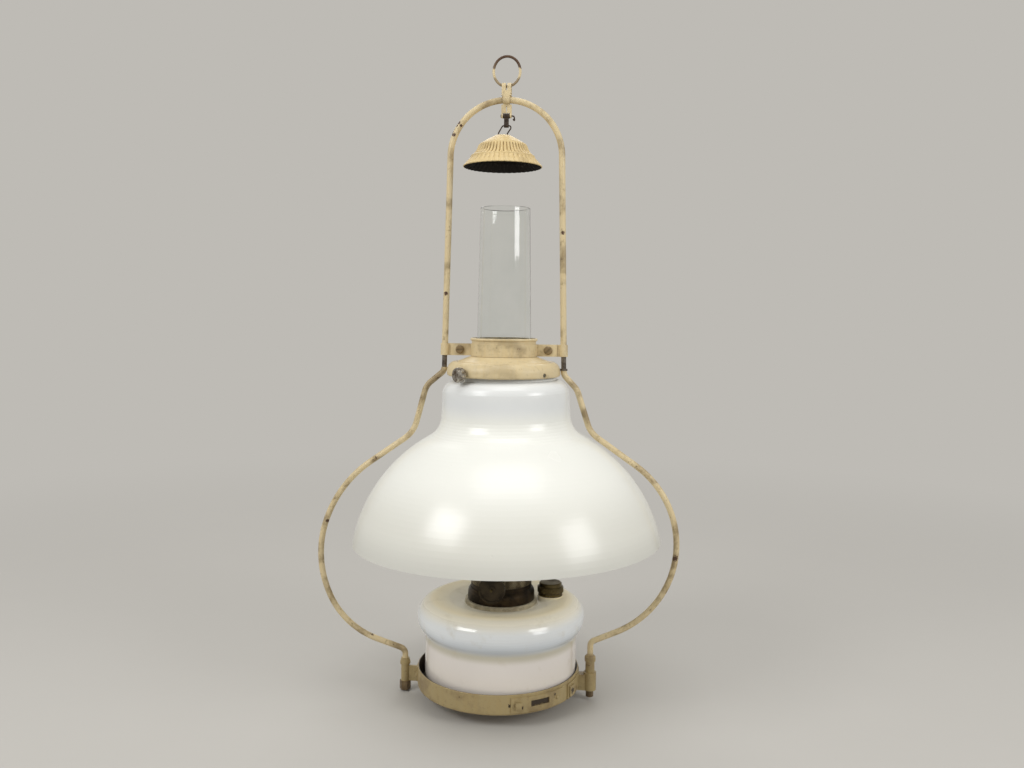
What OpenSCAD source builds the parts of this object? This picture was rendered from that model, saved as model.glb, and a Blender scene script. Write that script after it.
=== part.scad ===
// Hanging oil lamp in millimetres, Z up, origin at the inside top of the hanging ring.
// X runs to the right and the front of the lamp faces -Y.

/* [Hanger] */
// Outer width of the hanging ring
ring_d = 28.8; // [28:0.1:30]
// Outer height of the hanging ring
ring_h = 31.5; // [30:0.1:33]
// Wire thickness of the hanging ring
ring_wire = 2.6; // [2.2:0.1:2.8]
// Width of the folded hanger strap
hanger_w = 10; // [9.5:0.5:12]
// Sheet thickness of the hanger strap
hanger_t = 1.1; // [0.8:0.1:1.3]
// Height from the ring's wire to the top of the bail
hanger_drop = 13.1; // [12.8:0.1:15]

/* [Smoke bell] */
// Outer radius of the smoke bell at its rim
bell_r = 39.4; // [37:0.1:42]
// Height of the smoke bell
bell_h = 30.8; // [28:0.1:34]
// Sheet thickness of the smoke bell
bell_t = 0.9; // [0.7:0.1:1.2]
// Number of scallops round the skirt
bell_scallops = 28; // [20:1:32]

/* [Bail] */
// Outer diameter of the bail's tube
bail_d = 6.2; // [6:0.1:6.6]
// Bore of the bail's tube
bail_bore = 5; // [4.5:0.1:5.2]
// Radius of the arch at the top of the bail
bail_r = 55.5; // [54:0.5:57]
// Height of the bail from its open ends to its top
bail_h = 252; // [240:1:270]
// Outward lean of the bail's legs in degrees
bail_lean = 1.35; // [1:0.05:1.6]

/* [Arms] */
// Diameter of the arms' rod
rod_d = 6; // [5.6:0.1:6.2]

/* [Shade holder] */
// Outer radius of the shade holder's neck
neck_r = 32.3; // [32:0.1:33]
// Sheet thickness of the shade holder
fitter_t = 0.9; // [0.7:0.1:1]
// Height of the two clamp straps
strap_h = 12; // [11:0.5:13]
// Thickness of the two clamp straps
strap_t = 1.1; // [0.9:0.1:1.3]

/* [Shade] */
// Radius of the shade at its rim
shade_rim_r = 155.6; // [153:0.1:156]
// Glass thickness of the shade
shade_t = 3.2; // [2.6:0.1:3.6]
// Offset of the shade to the right in its holder
shade_x = 2.1; // [0:0.1:2.8]
// Tilt of the shade in degrees, right rim up
shade_tilt = 0.85; // [0:0.05:0.9]

/* [Chimney] */
// Length of the chimney
chimney_h = 320; // [300:1:325]
// Outer radius of the chimney at its top
chimney_top_r = 24.8; // [23:0.1:26]
// Glass thickness of the chimney
chimney_t = 1.6; // [1.4:0.1:2]

/* [Font] */
// Radius of the font's straight lower wall
font_r = 77.4; // [76.5:0.1:77.6]
// Glass thickness of the font
font_t = 4; // [3.5:0.1:4.5]

/* [Font band] */
// Outer radius of the font band
band_r = 82.3; // [82:0.1:82.8]
// Thickness of the font band
band_t = 1.2; // [1:0.1:1.4]
// Height of the font band
band_h = 20.4; // [19:0.1:22]

/* [Burner] */
// Diameter of the wick's thumbwheel
wheel_d = 26.7; // [24:0.1:28]
// Direction of the wick shaft, in degrees left or right of the front
wheel_az = -4.4; // [-10:0.1:10]
// Holes in each row of the burner's basket
basket_holes = 30; // [20:1:30]

/* [Hidden] */

cream = [0.78, 0.7, 0.52];
rust = [0.3, 0.2, 0.13];
steel = [0.55, 0.55, 0.53];
bronze = [0.24, 0.19, 0.13];
brass = [0.5, 0.43, 0.25];
opal = [0.93, 0.93, 0.91];

// heights
ring_a = (ring_d - ring_wire) / 2;
ring_b = (ring_h - ring_wire) / 2;
ring_z = ring_wire / 2 - ring_b;
wire_z = ring_z - ring_b;
bail_z = wire_z - hanger_drop;
pin_z = bail_z - 15.4;
eye_z = pin_z - 9.4;
bell_z = pin_z - 18.5;
leg_end = bail_z - bail_h;
arm_z = leg_end - 12;
shade_z = leg_end - 185;
band_z = leg_end - 337.6;
font_z = band_z + band_t;
burner_z = font_z + 88.7;
chimney_z = burner_z + 74.5;

// the legs
leg_l = (bail_h - bail_r + bail_r * sin(bail_lean)) / cos(bail_lean);
leg_x = bail_r * cos(bail_lean) + leg_l * sin(bail_lean);
loop_x = leg_x - strap_h / 2 * tan(bail_lean);
arm_x = leg_x + 12 * tan(bail_lean);
bail_ro = bail_d / 2;
bail_ri = bail_bore / 2;
rod_r = rod_d / 2;

// The arms' bends: straight run, turn in degrees away from the lamp's axis, radius of the turn
left_bends = [[0, 50, 8], [14, -35, 20], [32, 40, 32], [43, -38, 126], [0, -42, 107], [0, -47, 83], [26.5, 72, 7]];
right_bends = [[2, 43, 10], [11.5, -25, 21], [31.5, 37, 27.5], [47, -121, 99], [24, 66, 6]];
left_x = arm_x + tip(left_bends)[0];
right_x = arm_x + tip(right_bends)[0];
left_low = leg_end - 350.5;
right_low = leg_end - 348.5;
band_x = -2.5;

// sideways place of the smoke bell and its loop
bell_x = -3.25;

filler_x = 50;
filler_y = 10;

pitch_r = 4;
shaft_z = 22.5;

// Where the end of a bent rod comes to, from [0, 0] along +Y
function tip(p, i = 0, x = 0, y = 0, h = 0) =
    i == len(p) ? [x, y, h] :
    let (s = p[i][0], b = p[i][1], r = p[i][2], g = sign(b), k = h + b)
    tip(p, i + 1, x + s * sin(h) + g * r * (cos(h) - cos(k)), y + s * cos(h) + g * r * (sin(k) - sin(h)), k);

// Points on an arc, as [radius, height]
function arc(x, z, r, a0, a1, n = 8) = [for (i = [0 : n]) let (a = a0 + (a1 - a0) * i / n) [x + r * cos(a), z + r * sin(a)]];

function back(p) = [for (i = [len(p) - 1 : -1 : 0]) p[i]];

// A polyline moved sideways by t, to its right
function side(p, t) = [for (i = [0 : len(p) - 1])
    let (a = p[max(i - 1, 0)], b = p[min(i + 1, len(p) - 1)], d = b - a, l = norm(d)) p[i] + t * [d[1], -d[0]] / l];

module turned(p, n = 144) {
    rotate_extrude($fn = n) polygon(p);
}

module tube(ro, ri, z0, z1, n = 96) {
    translate([0, 0, z0])
        difference() {
            cylinder(h = z1 - z0, r = ro, $fn = n);
            translate([0, 0, -1]) cylinder(h = z1 - z0 + 2, r = ri, $fn = n);
        }
}

// Stations along a bent rod that starts along +Y: place in the XY plane and heading
function stations(p, step = 7, i = 0, x = 0, y = 0, h = 0) =
    i == len(p) ? [[x, y, h]] :
    let (s = p[i][0], b = p[i][1], r = p[i][2], g = sign(b), n = ceil(abs(b) / step),
        u = x + s * sin(h), v = y + s * cos(h))
    concat(s > 0 ? [[x, y, h]] : [],
        [for (j = [0 : 1 : n - 1]) let (k = h + b * j / n)
            [u + g * r * (cos(h) - cos(k)), v + g * r * (sin(k) - sin(h)), k]],
        stations(p, step, i + 1, u + g * r * (cos(h) - cos(h + b)), v + g * r * (sin(h + b) - sin(h)), h + b));

// Skin over round rings, each [x, y, heading, radius]; a ring skin that closes on itself has no ends
module sweep(rings, n, closed = false) {
    m = len(rings);
    points = [for (q = rings) for (j = [0 : n - 1])
        let (c = q[3] * cos(360 * j / n)) [q[0] + c * cos(q[2]), q[1] - c * sin(q[2]), q[3] * sin(360 * j / n)]];
    skin = [for (i = [0 : closed ? m - 1 : m - 2]) for (j = [0 : n - 1])
        let (k = (j + 1) % n, o = ((i + 1) % m) * n)
        each [[i * n + j, i * n + k, o + k], [i * n + j, o + k, o + j]]];
    ends = closed ? [] : [[for (j = [n - 1 : -1 : 0]) j], [for (j = [0 : n - 1]) (m - 1) * n + j]];
    polyhedron(points = points, faces = concat(skin, ends), convexity = 8);
}

// Places things made along +Z on the radius at azimuth a, from the axis outwards
module radial(a) {
    rotate([0, 0, a]) rotate([90, 0, 0]) children();
}

module hanging_ring() {
    color(rust)
        translate([0, 0, ring_z]) rotate([90, 0, 0])
            sweep([for (i = [0 : 63])
                let (t = 5.625 * i)
                [ring_a * cos(t), ring_b * sin(t), atan2(-ring_a * sin(t), ring_b * cos(t)), ring_wire / 2]],
                12, true);
}

// Side view of the hanger strap, x along the lamp's Y and y along its height
module hanger_profile() {
    t = hanger_t;
    w = wire_z - pin_z;
    b = bail_z - pin_z;
    wire_hole = 2.35;
    bail_hole = bail_ro + 0.25;
    half = concat(arc(0, 0, 1 + t, -90, 50, 8), [[t, 2.6]], arc(0, b, bail_hole + t, -72, 20, 8),
        arc(0, w, wire_hole + t, 0, 90, 8));
    difference() {
        polygon(concat(half, [for (q = back(half)) if (q[0] > 0.01) [-q[0], q[1]]]));
        translate([0, w]) circle(r = wire_hole, $fn = 64);
        polygon([[-2.3, w - 0.5], [2.3, w - 0.5], [2.9, b + 1], [-2.9, b + 1]]);
        translate([0, b]) circle(r = bail_hole, $fn = 64);
        circle(r = 1, $fn = 48);
    }
}

module hanger_strap() {
    w = wire_z - pin_z;
    b = bail_z - pin_z;
    color(cream)
        translate([0, 0, pin_z])
            difference() {
                translate([-hanger_w / 2, 0, 0]) rotate([90, 0, 90])
                    linear_extrude(hanger_w) hanger_profile();
                // the slot between the two prongs and their narrower tops
                translate([-0.8, -10, b + 8.7]) cube([1.6, 20, 20]);
                for (m = [0, 1])
                    mirror([m, 0, 0]) {
                        translate([4.6, -10, b + 6.6]) cube([10, 20, 20]);
                        translate([hanger_w / 2, 0, b + 5.4]) rotate([90, 0, 0])
                            cylinder(h = 20, r = 0.8, center = true, $fn = 24);
                        translate([3.25, -10, b - 4.6]) cube([10, 20, 8.4]);
                    }
                // the slit in the lower lobe and the gap for the link
                translate([-0.5, -10, 3.4]) cube([1, 20, 5.6]);
                translate([-3.5, -10, -6]) cube([7, 20, 8.6]);
            }
}

// The pin has a head on the left and a curled end on the right
module hanger_pin() {
    e = hanger_w / 2;
    curl = stations([[0.6, 90, 2], [0.4, 60, 2.2]], 15, 0, e + 0.2, 0, 90);
    m = len(curl);
    color(rust)
        translate([0, 0, pin_z]) rotate([90, 0, 0])
            sweep(concat([[-e - 0.7, 0, 90, 1.6], [-e, 0, 90, 1.6], [-e, 0, 90, 1], [e + 0.1, 0, 90, 1]],
                [for (i = [0 : m - 1])
                    [curl[i][0], curl[i][1], curl[i][2], i < m - 4 ? 0.7 : i < m - 1 ? 1.3 : 0.9]]), 16);
}

module bell_link() {
    d = pin_z - eye_z;
    color(bronze)
        translate([0, 0, eye_z])
            difference() {
                translate([-3.3, 0, 0]) rotate([90, 0, 90])
                    linear_extrude(6.6)
                        difference() {
                            union() {
                                circle(r = 1.9, $fn = 48);
                                translate([0, d]) circle(r = 2.1, $fn = 48);
                                translate([-0.9, 0]) square([1.8, d]);
                            }
                            circle(r = 0.95, $fn = 48);
                            translate([0, d]) circle(r = 1.06, $fn = 48);
                        }
                for (m = [0, 1])
                    mirror([m, 0, 0]) translate([2.3, -5, -5]) cube([5, 10, d + 2.7]);
            }
}

module bell_loop() {
    d = eye_z - bell_z;
    path = [[1.2, 30, 3], [(d - 3.7) / cos(30), 60, 2], [5.1, 100, 1.9], [0, 25, 3], [4.6, -35, 1.5],
        [d - 8.06, 0, 1]];
    color(rust)
        translate([-7.8, 0, bell_z]) rotate([90, 0, 0])
            sweep([for (q = stations(path, 15)) [q[0], q[1], q[2], 0.65]], 8);
}

// The bell's outline from its crown to its rim: radius and height as parts of the whole,
// depth of the fine ribs, depth of the scallops
bell_rings = [[0.115, 0, 0, 0], [0.2, 0.02, 0, 0], [0.4, 0.155, 0, 0], [0.596, 0.31, 0, 0], [0.625, 0.35, 0.3, 0],
    [0.69, 0.55, 0.3, 0], [0.735, 0.585, 0, 0], [0.745, 0.62, 0, 0], [0.755, 0.65, 0, 0.2], [0.855, 0.79, 0, 0.7],
    [0.95, 0.92, 0, 1], [1, 1, 0, 0.9]];

module smoke_bell() {
    n = 4 * bell_scallops;
    k = len(bell_rings);
    line = [for (b = bell_rings) [b[0] * bell_r, -b[1] * bell_h]];
    inner = side(line, bell_t);
    rings = concat([for (i = [0 : k - 1]) [line[i][0], line[i][1], bell_rings[i][2], bell_rings[i][3]]],
        [for (i = [k - 1 : -1 : 0]) [inner[i][0], inner[i][1], bell_rings[i][2], bell_rings[i][3]]]);
    m = len(rings);
    points = concat([for (q = rings) for (j = [0 : n - 1])
        let (a = 360 * j / n, r = q[0] + q[2] * (j % 2) + q[3] * (cos(a * bell_scallops) - 1) / 2)
        [r * cos(a), r * sin(a), q[1] + 0.5 * q[3] * (1 - cos(a * bell_scallops)) / 2]],
        [[0, 0, rings[0][1]], [0, 0, rings[m - 1][1]]]);
    skin = [for (i = [0 : m - 2]) for (j = [0 : n - 1])
        let (a = i * n + j, b = i * n + (j + 1) % n)
        each [[a, b, b + n], [a, b + n, a + n]]];
    caps = [for (j = [0 : n - 1])
        let (b = (j + 1) % n)
        each [[n * m, b, j], [n * m + 1, (m - 1) * n + j, (m - 1) * n + b]]];
    color(cream)
        translate([bell_x, 0, bell_z])
            polyhedron(points = points, faces = concat(skin, caps), convexity = 6);
}

module bail() {
    path = stations([[leg_l, 180 - 2 * bail_lean, bail_r], [leg_l, 0, 1]]);
    color(cream)
        translate([-leg_x, 0, leg_end]) rotate([0, bail_lean, 0]) rotate([90, 0, 0])
            sweep(concat([for (q = path) [q[0], q[1], q[2], bail_ro]],
                [for (q = back(path)) [q[0], q[1], q[2], bail_ri]]), 16, true);
}

// An arm to the right of the axis, with the plug that goes up into the leg and a thread at its foot
module arm(p, end_z, foot_z, shoulder = 0) {
    l = bail_lean;
    t = tip(p);
    plug = 28;
    top = shoulder == 0 ? [[0, 0, 0, rod_r]] :
        [[0, 0, 0, rod_r + 0.8], [0, shoulder, 0, rod_r + 0.8], [0, shoulder, 0, rod_r]];
    path = stations(p);
    translate([arm_x, 0, arm_z]) rotate([-90, 0, 0])
        sweep(concat([[-plug * sin(l), -plug * cos(l), l, bail_ri], [0, 0, 0, bail_ri]], top,
            [for (i = [1 : len(path) - 1]) [path[i][0], path[i][1], path[i][2], rod_r]],
            [[t[0], arm_z - end_z, 0, rod_r], [t[0], arm_z - end_z, 0, 2], [t[0], arm_z - foot_z, 0, 2]]), 14);
}

module left_arm() {
    color(cream) mirror([1, 0, 0]) arm(left_bends, left_low + 8, left_low);
}

module right_arm() {
    color(cream) arm(right_bends, right_low + 8, right_low, 1.8);
}

module rear_clamp_strap() {
    color(cream)
        translate([0, 0, leg_end])
            difference() {
                union() {
                    rotate_extrude(angle = 180, $fn = 144) translate([neck_r, 0]) square([strap_t, strap_h]);
                    for (m = [0, 1])
                        mirror([m, 0, 0]) {
                            translate([neck_r + 0.2, 0, 0]) cube([loop_x - neck_r - 3, strap_t, strap_h]);
                            translate([leg_x, 0, 0]) rotate([0, -bail_lean, 0])
                                translate([0, 0, 0.1]) cylinder(h = strap_h - 0.2, r = bail_ro + 1.1, $fn = 48);
                        }
                }
                for (m = [0, 1])
                    mirror([m, 0, 0]) {
                        translate([leg_x, 0, 0]) rotate([0, -bail_lean, 0])
                            translate([0, 0, -2]) cylinder(h = strap_h + 4, r = bail_ro, $fn = 48);
                        translate([44.5, 0, strap_h / 2]) rotate([90, 0, 0])
                            cylinder(h = 10, r = 1.9, center = true, $fn = 32);
                    }
            }
}

module front_clamp_strap() {
    color(cream)
        translate([0, 0, leg_end])
            difference() {
                union() {
                    rotate([0, 0, 180]) rotate_extrude(angle = 180, $fn = 144)
                        translate([neck_r, 0]) square([strap_t, strap_h]);
                    for (m = [0, 1])
                        mirror([m, 0, 0]) translate([neck_r + 0.2, -strap_t, 0])
                            cube([53.5 - neck_r - 0.2, strap_t, strap_h]);
                }
                for (m = [-1, 1])
                    translate([m * 44.5, 0, strap_h / 2]) rotate([90, 0, 0])
                        cylinder(h = 10, r = 1.9, center = true, $fn = 32);
            }
}

module clamp_screws() {
    color(cream)
        for (m = [-1, 1])
            translate([m * 44.5, -strap_t, leg_end + strap_h / 2]) rotate([90, 0, 0])
                difference() {
                    union() {
                        translate([0, 0, -strap_t * 2 - 4.4]) cylinder(h = strap_t * 2 + 4.4, r = 1.75, $fn = 32);
                        cylinder(h = 1.2, r = 4.25, $fn = 48);
                        translate([0, 0, 1.2]) cylinder(h = 0.9, r1 = 4.25, r2 = 3.1, $fn = 48);
                    }
                    rotate([0, 0, m > 0 ? 40 : 5]) translate([-5, -0.5, 1.1]) cube([10, 1, 2]);
                }
}

module clamp_nuts() {
    color(rust)
        for (m = [-1, 1])
            translate([m * 44.5, strap_t, leg_end + strap_h / 2]) rotate([-90, 0, 0])
                difference() {
                    cylinder(h = 3, r = 4, $fn = 6);
                    translate([0, 0, -1]) cylinder(h = 5, r = 1.75, $fn = 32);
                }
}

screw_az = [-37, 140, -130];

module shade_fitter() {
    t = fitter_t;
    outer = concat([[neck_r, 15]], arc(neck_r + 0.1, 16.5, 1.4, -60, 90, 6));
    top = concat(outer, [[neck_r - 0.6, 17.9], [neck_r - 0.6, -0.6]]);
    below = concat([[neck_r, 0], [46, -5.3], [46.4, -6.3]], arc(47, -15, 10, 68, 0, 8),
        arc(54.6, -17.6, 2.4, 0, -80, 5));
    inner = concat([[neck_r - 0.6, -0.6], [45.6, -6.2], [46, -7.2]], arc(47, -15, 10 - t, 68, 0, 8),
        arc(54.6, -17.6, 2.4 - t, 0, -80, 4));
    color(cream)
        translate([0, 0, leg_end])
            difference() {
                turned(concat(back(inner), [[neck_r - 0.6, 17.9]], back(outer), below));
                for (a = [screw_az[0], screw_az[1], screw_az[2], 50])
                    radial(a) translate([0, -16.7, 40]) cylinder(h = 30, r = 2.12, $fn = 24);
            }
}

// Outline of the shade as radius and height above its rim's plane; it tilts about its neck
module shade() {
    t = shade_t;
    rs = 154.2;
    cz = -31.3;
    a0 = asin(31.3 / rs);
    k = shade_rim_r - 151;
    outer = concat([[46.6, 174.7]], arc(48.9, 172.6, 1.9, 90, -40, 6), arc(51, 168.3, 3.1, 125, 210, 5),
        arc(49.5, 147.2, 14.5, 84, 0, 8), arc(89.7, 126.1, 24.7, 180, 241.6, 8), arc(k, cz, rs, 61.1, a0, 24));
    inner = concat([[45.8, 174], [45.8, 159.5]], arc(49.5, 147.2, 14.5 - t, 108, 0, 8),
        arc(89.7, 126.1, 24.7 + t, 180, 241.6, 8), arc(k, cz, rs - t, 61, a0 + 0.3, 24));
    color(opal)
        translate([shade_x, 0, shade_z + 174]) rotate([0, -shade_tilt, 0]) translate([0, 0, -174])
            turned(concat(outer, back(inner)), 180);
}

// A thumb screw that points at the axis, with its knurled head outside
module thumb_screw(a, tip_r) {
    n = 28;
    color(steel)
        translate([0, 0, leg_end - 16.7]) radial(a) translate([0, 0, tip_r]) {
            cylinder(h = 1, r1 = 1, r2 = 2, $fn = 32);
            translate([0, 0, 1]) cylinder(h = 10, r = 2, $fn = 32);
            translate([0, 0, 10.6]) cylinder(h = 2.4, r = 4, $fn = 32);
            translate([0, 0, 13])
                linear_extrude(5)
                    polygon([for (i = [0 : 2 * n - 1]) (7.3 - 0.35 * (i % 2)) * [cos(180 * i / n), sin(180 * i / n)]]);
            translate([0, 0, 18]) cylinder(h = 1.6, r1 = 6.4, r2 = 4.8, $fn = 48);
        }
}

// Distance from the axis to the shade's groove in direction a
function groove(a) = let (c = shade_x * sin(a)) c + sqrt(48.25 * 48.25 - shade_x * shade_x + c * c);

module shade_screw_front() {
    thumb_screw(screw_az[0], groove(screw_az[0]) + 0.15);
}

module shade_screw_right() {
    thumb_screw(screw_az[1], groove(screw_az[1]) + 0.15);
}

module shade_screw_left() {
    thumb_screw(screw_az[2], groove(screw_az[2]) + 0.15);
}

module font_band() {
    t = band_t;
    ri = band_r - t;
    color(cream)
        translate([band_x, 0, band_z])
            turned(concat([[60, 0]], arc(band_r - 2.4, 2.4, 2.4, -90, 0, 5), [[band_r, band_h - 0.4], [band_r - 0.4, band_h],
                [ri, band_h]], arc(band_r - 2.4, 2.4, 2.4 - t, 0, -90, 4), [[60, t]]));
}

// A strap bent round the outside of the band
module band_plate(a0, a1, z0, z1, t = 1.1) {
    translate([band_x, 0, band_z + z0]) rotate([0, 0, a0 - 90])
        rotate_extrude(angle = a1 - a0, $fn = 144) translate([band_r, 0]) square([t, z1 - z0]);
}

module band_clasp() {
    color(cream)
        difference() {
            union() {
                band_plate(15, 56.4, 3, 17.4);
                translate([band_x, 0, band_z]) rotate([0, 0, 19.7 - 90])
                    translate([band_r + 0.8, -3, 6.6]) {
                        cube([2.2, 6, 1.2]);
                        translate([1.6, 0, 0]) cube([1, 6, 6.8]);
                    }
            }
            translate([band_x, 0, band_z]) rotate([0, 0, 28.8 - 90])
                rotate_extrude(angle = 14.1, $fn = 144) translate([band_r - 1, 7.4]) square([4, 6]);
        }
}

module band_rivet(a, z, r = 2.6, t = 1.1) {
    translate([band_x, 0, band_z + z]) radial(a) translate([0, 0, band_r + t - 0.2]) {
        cylinder(h = 0.9, r = r, $fn = 32);
        translate([0, 0, 0.9]) cylinder(h = 0.7, r1 = r, r2 = r * 0.6, $fn = 32);
    }
}

module band_rivets() {
    color(cream) {
        band_rivet(-98, 8);
        band_rivet(-82, 8);
        band_rivet(50, 10, 1.8);
        band_rivet(98, 8);
        translate([band_x, 0, band_z]) rotate([0, 0, 67 - 90]) translate([band_r + 0.9, -5, 3.6])
            cube([1.8, 10, 10.4]);
    }
}

// The eye at an arm's end, bent from strap and riveted round the band
module socket(x, r, h, z0, w) {
    difference() {
        union() {
            translate([x, 0, z0]) cylinder(h = h, r = r, $fn = 48);
            translate([min(x, sign(x) * 79), -w / 2, z0]) cube([abs(x - sign(x) * 79), w, h - 2]);
        }
        translate([band_x, 0, z0 - 1]) cylinder(h = h + 2, r = band_r, $fn = 144);
        translate([x, 0, z0 - 1]) cylinder(h = h + 2, r = rod_r, $fn = 48);
    }
}

module left_socket() {
    color(cream) {
        socket(-left_x, 4.3, 17.9, leg_end - 340.5, 3.2);
        band_plate(-100, -80, 2, 17);
    }
}

module right_socket() {
    color(cream) {
        socket(right_x, 6.4, 18.4, leg_end - 340.4, 8.8);
        band_plate(62, 112, 2, 17);
    }
}

module arm_collars() {
    color(cream) {
        translate([-left_x, 0, leg_end - 322.6])
            difference() {
                union() {
                    cylinder(h = 3, r = 5.3, $fn = 48);
                    translate([0, 0, 3]) cylinder(h = 3.4, r1 = 4.9, r2 = 4.2, $fn = 48);
                }
                translate([0, 0, -1]) cylinder(h = 9, r = rod_r, $fn = 48);
            }
        translate([right_x, 0, leg_end - 322])
            difference() {
                union() {
                    cylinder(h = 11.5, r = 4.65, $fn = 48);
                    translate([0, 0, 11.5]) cylinder(h = 4.4, r = 5.6, $fn = 48);
                    translate([0, 0, 15.9]) cylinder(h = 1.6, r1 = 5.6, r2 = 4.2, $fn = 48);
                }
                translate([0, 0, -1]) cylinder(h = 20, r = rod_r, $fn = 48);
            }
    }
}

module arm_nuts() {
    color(rust) {
        translate([-left_x, 0, left_low + 1])
            difference() {
                cylinder(h = leg_end - 340.5 - left_low - 1, r = 5.85, $fn = 6);
                translate([0, 0, -1]) cylinder(h = 8, r = 2, $fn = 32);
                translate([0, 0, 7]) cylinder(h = 8, r = rod_r, $fn = 32);
            }
        translate([right_x, 0, right_low + 1])
            difference() {
                cylinder(h = leg_end - 340.4 - right_low - 1, r = 3.9, $fn = 48);
                translate([0, 0, -1]) cylinder(h = 8, r = 2, $fn = 32);
                translate([0, 0, 7]) cylinder(h = 8, r = rod_r, $fn = 32);
            }
    }
}

// The font stands on z = 0 in its own frame
module font() {
    t = font_t;
    fx = font_r + 8;
    dz = sqrt(676 - pow(fx - 67.3, 2));
    fz = 71.5 - dz;
    af = atan2(dz, fx - 67.3);
    outer = concat([[0, 0]], arc(font_r - 12, 12, 12, -90, 0, 8), arc(fx, fz, 8, 180, 180 - af, 5),
        arc(67.3, 71.5, 18, -af, 98, 16), [[54, 88.6], [45, 86.6], [37, 84.7], [29, 84.7]]);
    inner = concat([[0, t]], arc(font_r - 12, 12, 12 - t, -90, 0, 6), arc(fx, fz, 8 + t, 180, 180 - af, 5),
        arc(67.3, 71.5, 18 - t, -af, 98, 12), [[54, 84.6], [45, 82.5], [37, 80.4], [29, 80.2]]);
    color(opal)
        translate([0, 0, font_z])
            difference() {
                union() {
                    turned(concat(outer, back(inner)));
                    translate([filler_x, filler_y, 82]) cylinder(h = 8.2, r = 13.2, $fn = 48);
                }
                translate([filler_x, filler_y, 70]) cylinder(h = 30, r = 9.6, $fn = 48);
            }
}

module font_collar() {
    color(steel)
        translate([0, 0, font_z])
            turned([[27.6, 77.7], [29, 77.7], [29, 84.7], [36.8, 84.7], [36.8, 87.9], [36, 88.7], [27.6, 88.7]], 96);
}

module filler_neck() {
    color(brass)
        translate([filler_x, filler_y, font_z])
            turned([[8.2, 80], [9.6, 80], [9.6, 90.2], [12.4, 90.2], [12.4, 93], [10.2, 93], [10.2, 99],
                [8.2, 99]], 64);
}

module filler_gasket() {
    color(bronze) translate([filler_x, filler_y, font_z]) tube(10.1, 6, 99.05, 100.4, 64);
}

module filler_cap() {
    n = 40;
    color(brass)
        translate([filler_x, filler_y, font_z])
            difference() {
                union() {
                    translate([0, 0, 93.8])
                        linear_extrude(5.4)
                            polygon([for (i = [0 : 2 * n - 1])
                                (13.4 - 0.35 * (i % 2)) * [cos(180 * i / n), sin(180 * i / n)]]);
                    translate([0, 0, 99.2]) cylinder(h = 0.8, r1 = 13, r2 = 12, $fn = 64);
                    translate([0, 0, 100]) cylinder(h = 2.8, r = 11.6, $fn = 64);
                    translate([0, 0, 102.8]) cylinder(h = 0.8, r1 = 11.6, r2 = 10.6, $fn = 64);
                }
                translate([0, 0, 90]) cylinder(h = 10.45, r = 10.5, $fn = 64);
            }
}

module burner_base() {
    color(bronze)
        translate([0, 0, burner_z])
            difference() {
                union() {
                    turned([[15.5, 0], [34, 0], [34, 7.5], [33.5, 9.6], [31.5, 12.5], [29, 12.5], [29, 11.5], [30.8, 11.5],
                        [32.5, 9.2], [33, 7.3], [33, 1], [15.5, 1]], 96);
                    tube(27.6, 26.2, -10.5, 0.5);
                    rotate([0, 0, wheel_az]) translate([-4, -22.4, 0.5]) cube([8, 1.4, shaft_z + 4.5]);
                }
                translate([0, 0, shaft_z]) radial(wheel_az) cylinder(h = 28, r = 1.56, $fn = 32);
            }
}

module burner_basket() {
    color(bronze)
        translate([0, 0, burner_z])
            difference() {
                union() {
                    tube(31, 30.2, 12.5, 54.5);
                    tube(30.6, 25, 53.7, 54.5);
                    translate([0, 0, shaft_z]) radial(wheel_az) translate([0, 0, 30.4]) cylinder(h = 4, r = 3.4, $fn = 32);
                    for (k = [0 : 3])
                        translate([0, 0, 51.6]) radial(20 + 90 * k) translate([0, 0, 30.6])
                            cylinder(h = 1.9, r = 0.9, $fn = 24);
                }
                translate([0, 0, shaft_z]) radial(wheel_az) translate([0, 0, 25]) cylinder(h = 12, r = 1.56, $fn = 32);
                for (i = [0 : 5])
                    for (j = [0 : basket_holes - 1]) {
                        a = 360 * (j + (i % 2) / 2) / basket_holes + 6 + wheel_az;
                        if (abs((a - wheel_az + 180) % 360 - 180) > 9 || i > 2)
                            translate([0, 0, 17 + 5.4 * i]) radial(a) translate([0, 0, 28])
                                cylinder(h = 5, r = 1.5, $fn = 4);
                    }
            }
}

module outer_wick_tube() {
    color(bronze)
        translate([0, 0, burner_z])
            difference() {
                tube(15.5, 14.8, -22, 76);
                rotate([0, 0, wheel_az]) translate([4.2, -20, 40]) cube([2.8, 12, 20]);
                for (m = [-1, 1])
                    rotate([0, 0, wheel_az + m * 90]) translate([-6, -20, 4]) cube([12, 10, 28]);
            }
}

module inner_wick_tube() {
    color(bronze)
        translate([0, 0, burner_z])
            difference() {
                union() {
                    tube(12.5, 11.8, -22, 74);
                    translate([0, 0, -22]) cylinder(h = 1, r = 12.3, $fn = 96);
                    rotate([0, 0, wheel_az])
                        for (m = [0, 1])
                            mirror([m, 0, 0])
                                for (n = [0, 1])
                                    mirror([0, n, 0]) translate([10.2, 6.4, 2])
                                        intersection() {
                                            cube([8, 0.9, 32]);
                                            translate([-10.2, -6.4, -1]) tube(14.8, 12.2, 0, 40);
                                        }
                }
                for (m = [-1, 1])
                    rotate([0, 0, wheel_az + m * 90]) translate([-6, -16, 4]) cube([12, 10, 28]);
            }
}

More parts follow.
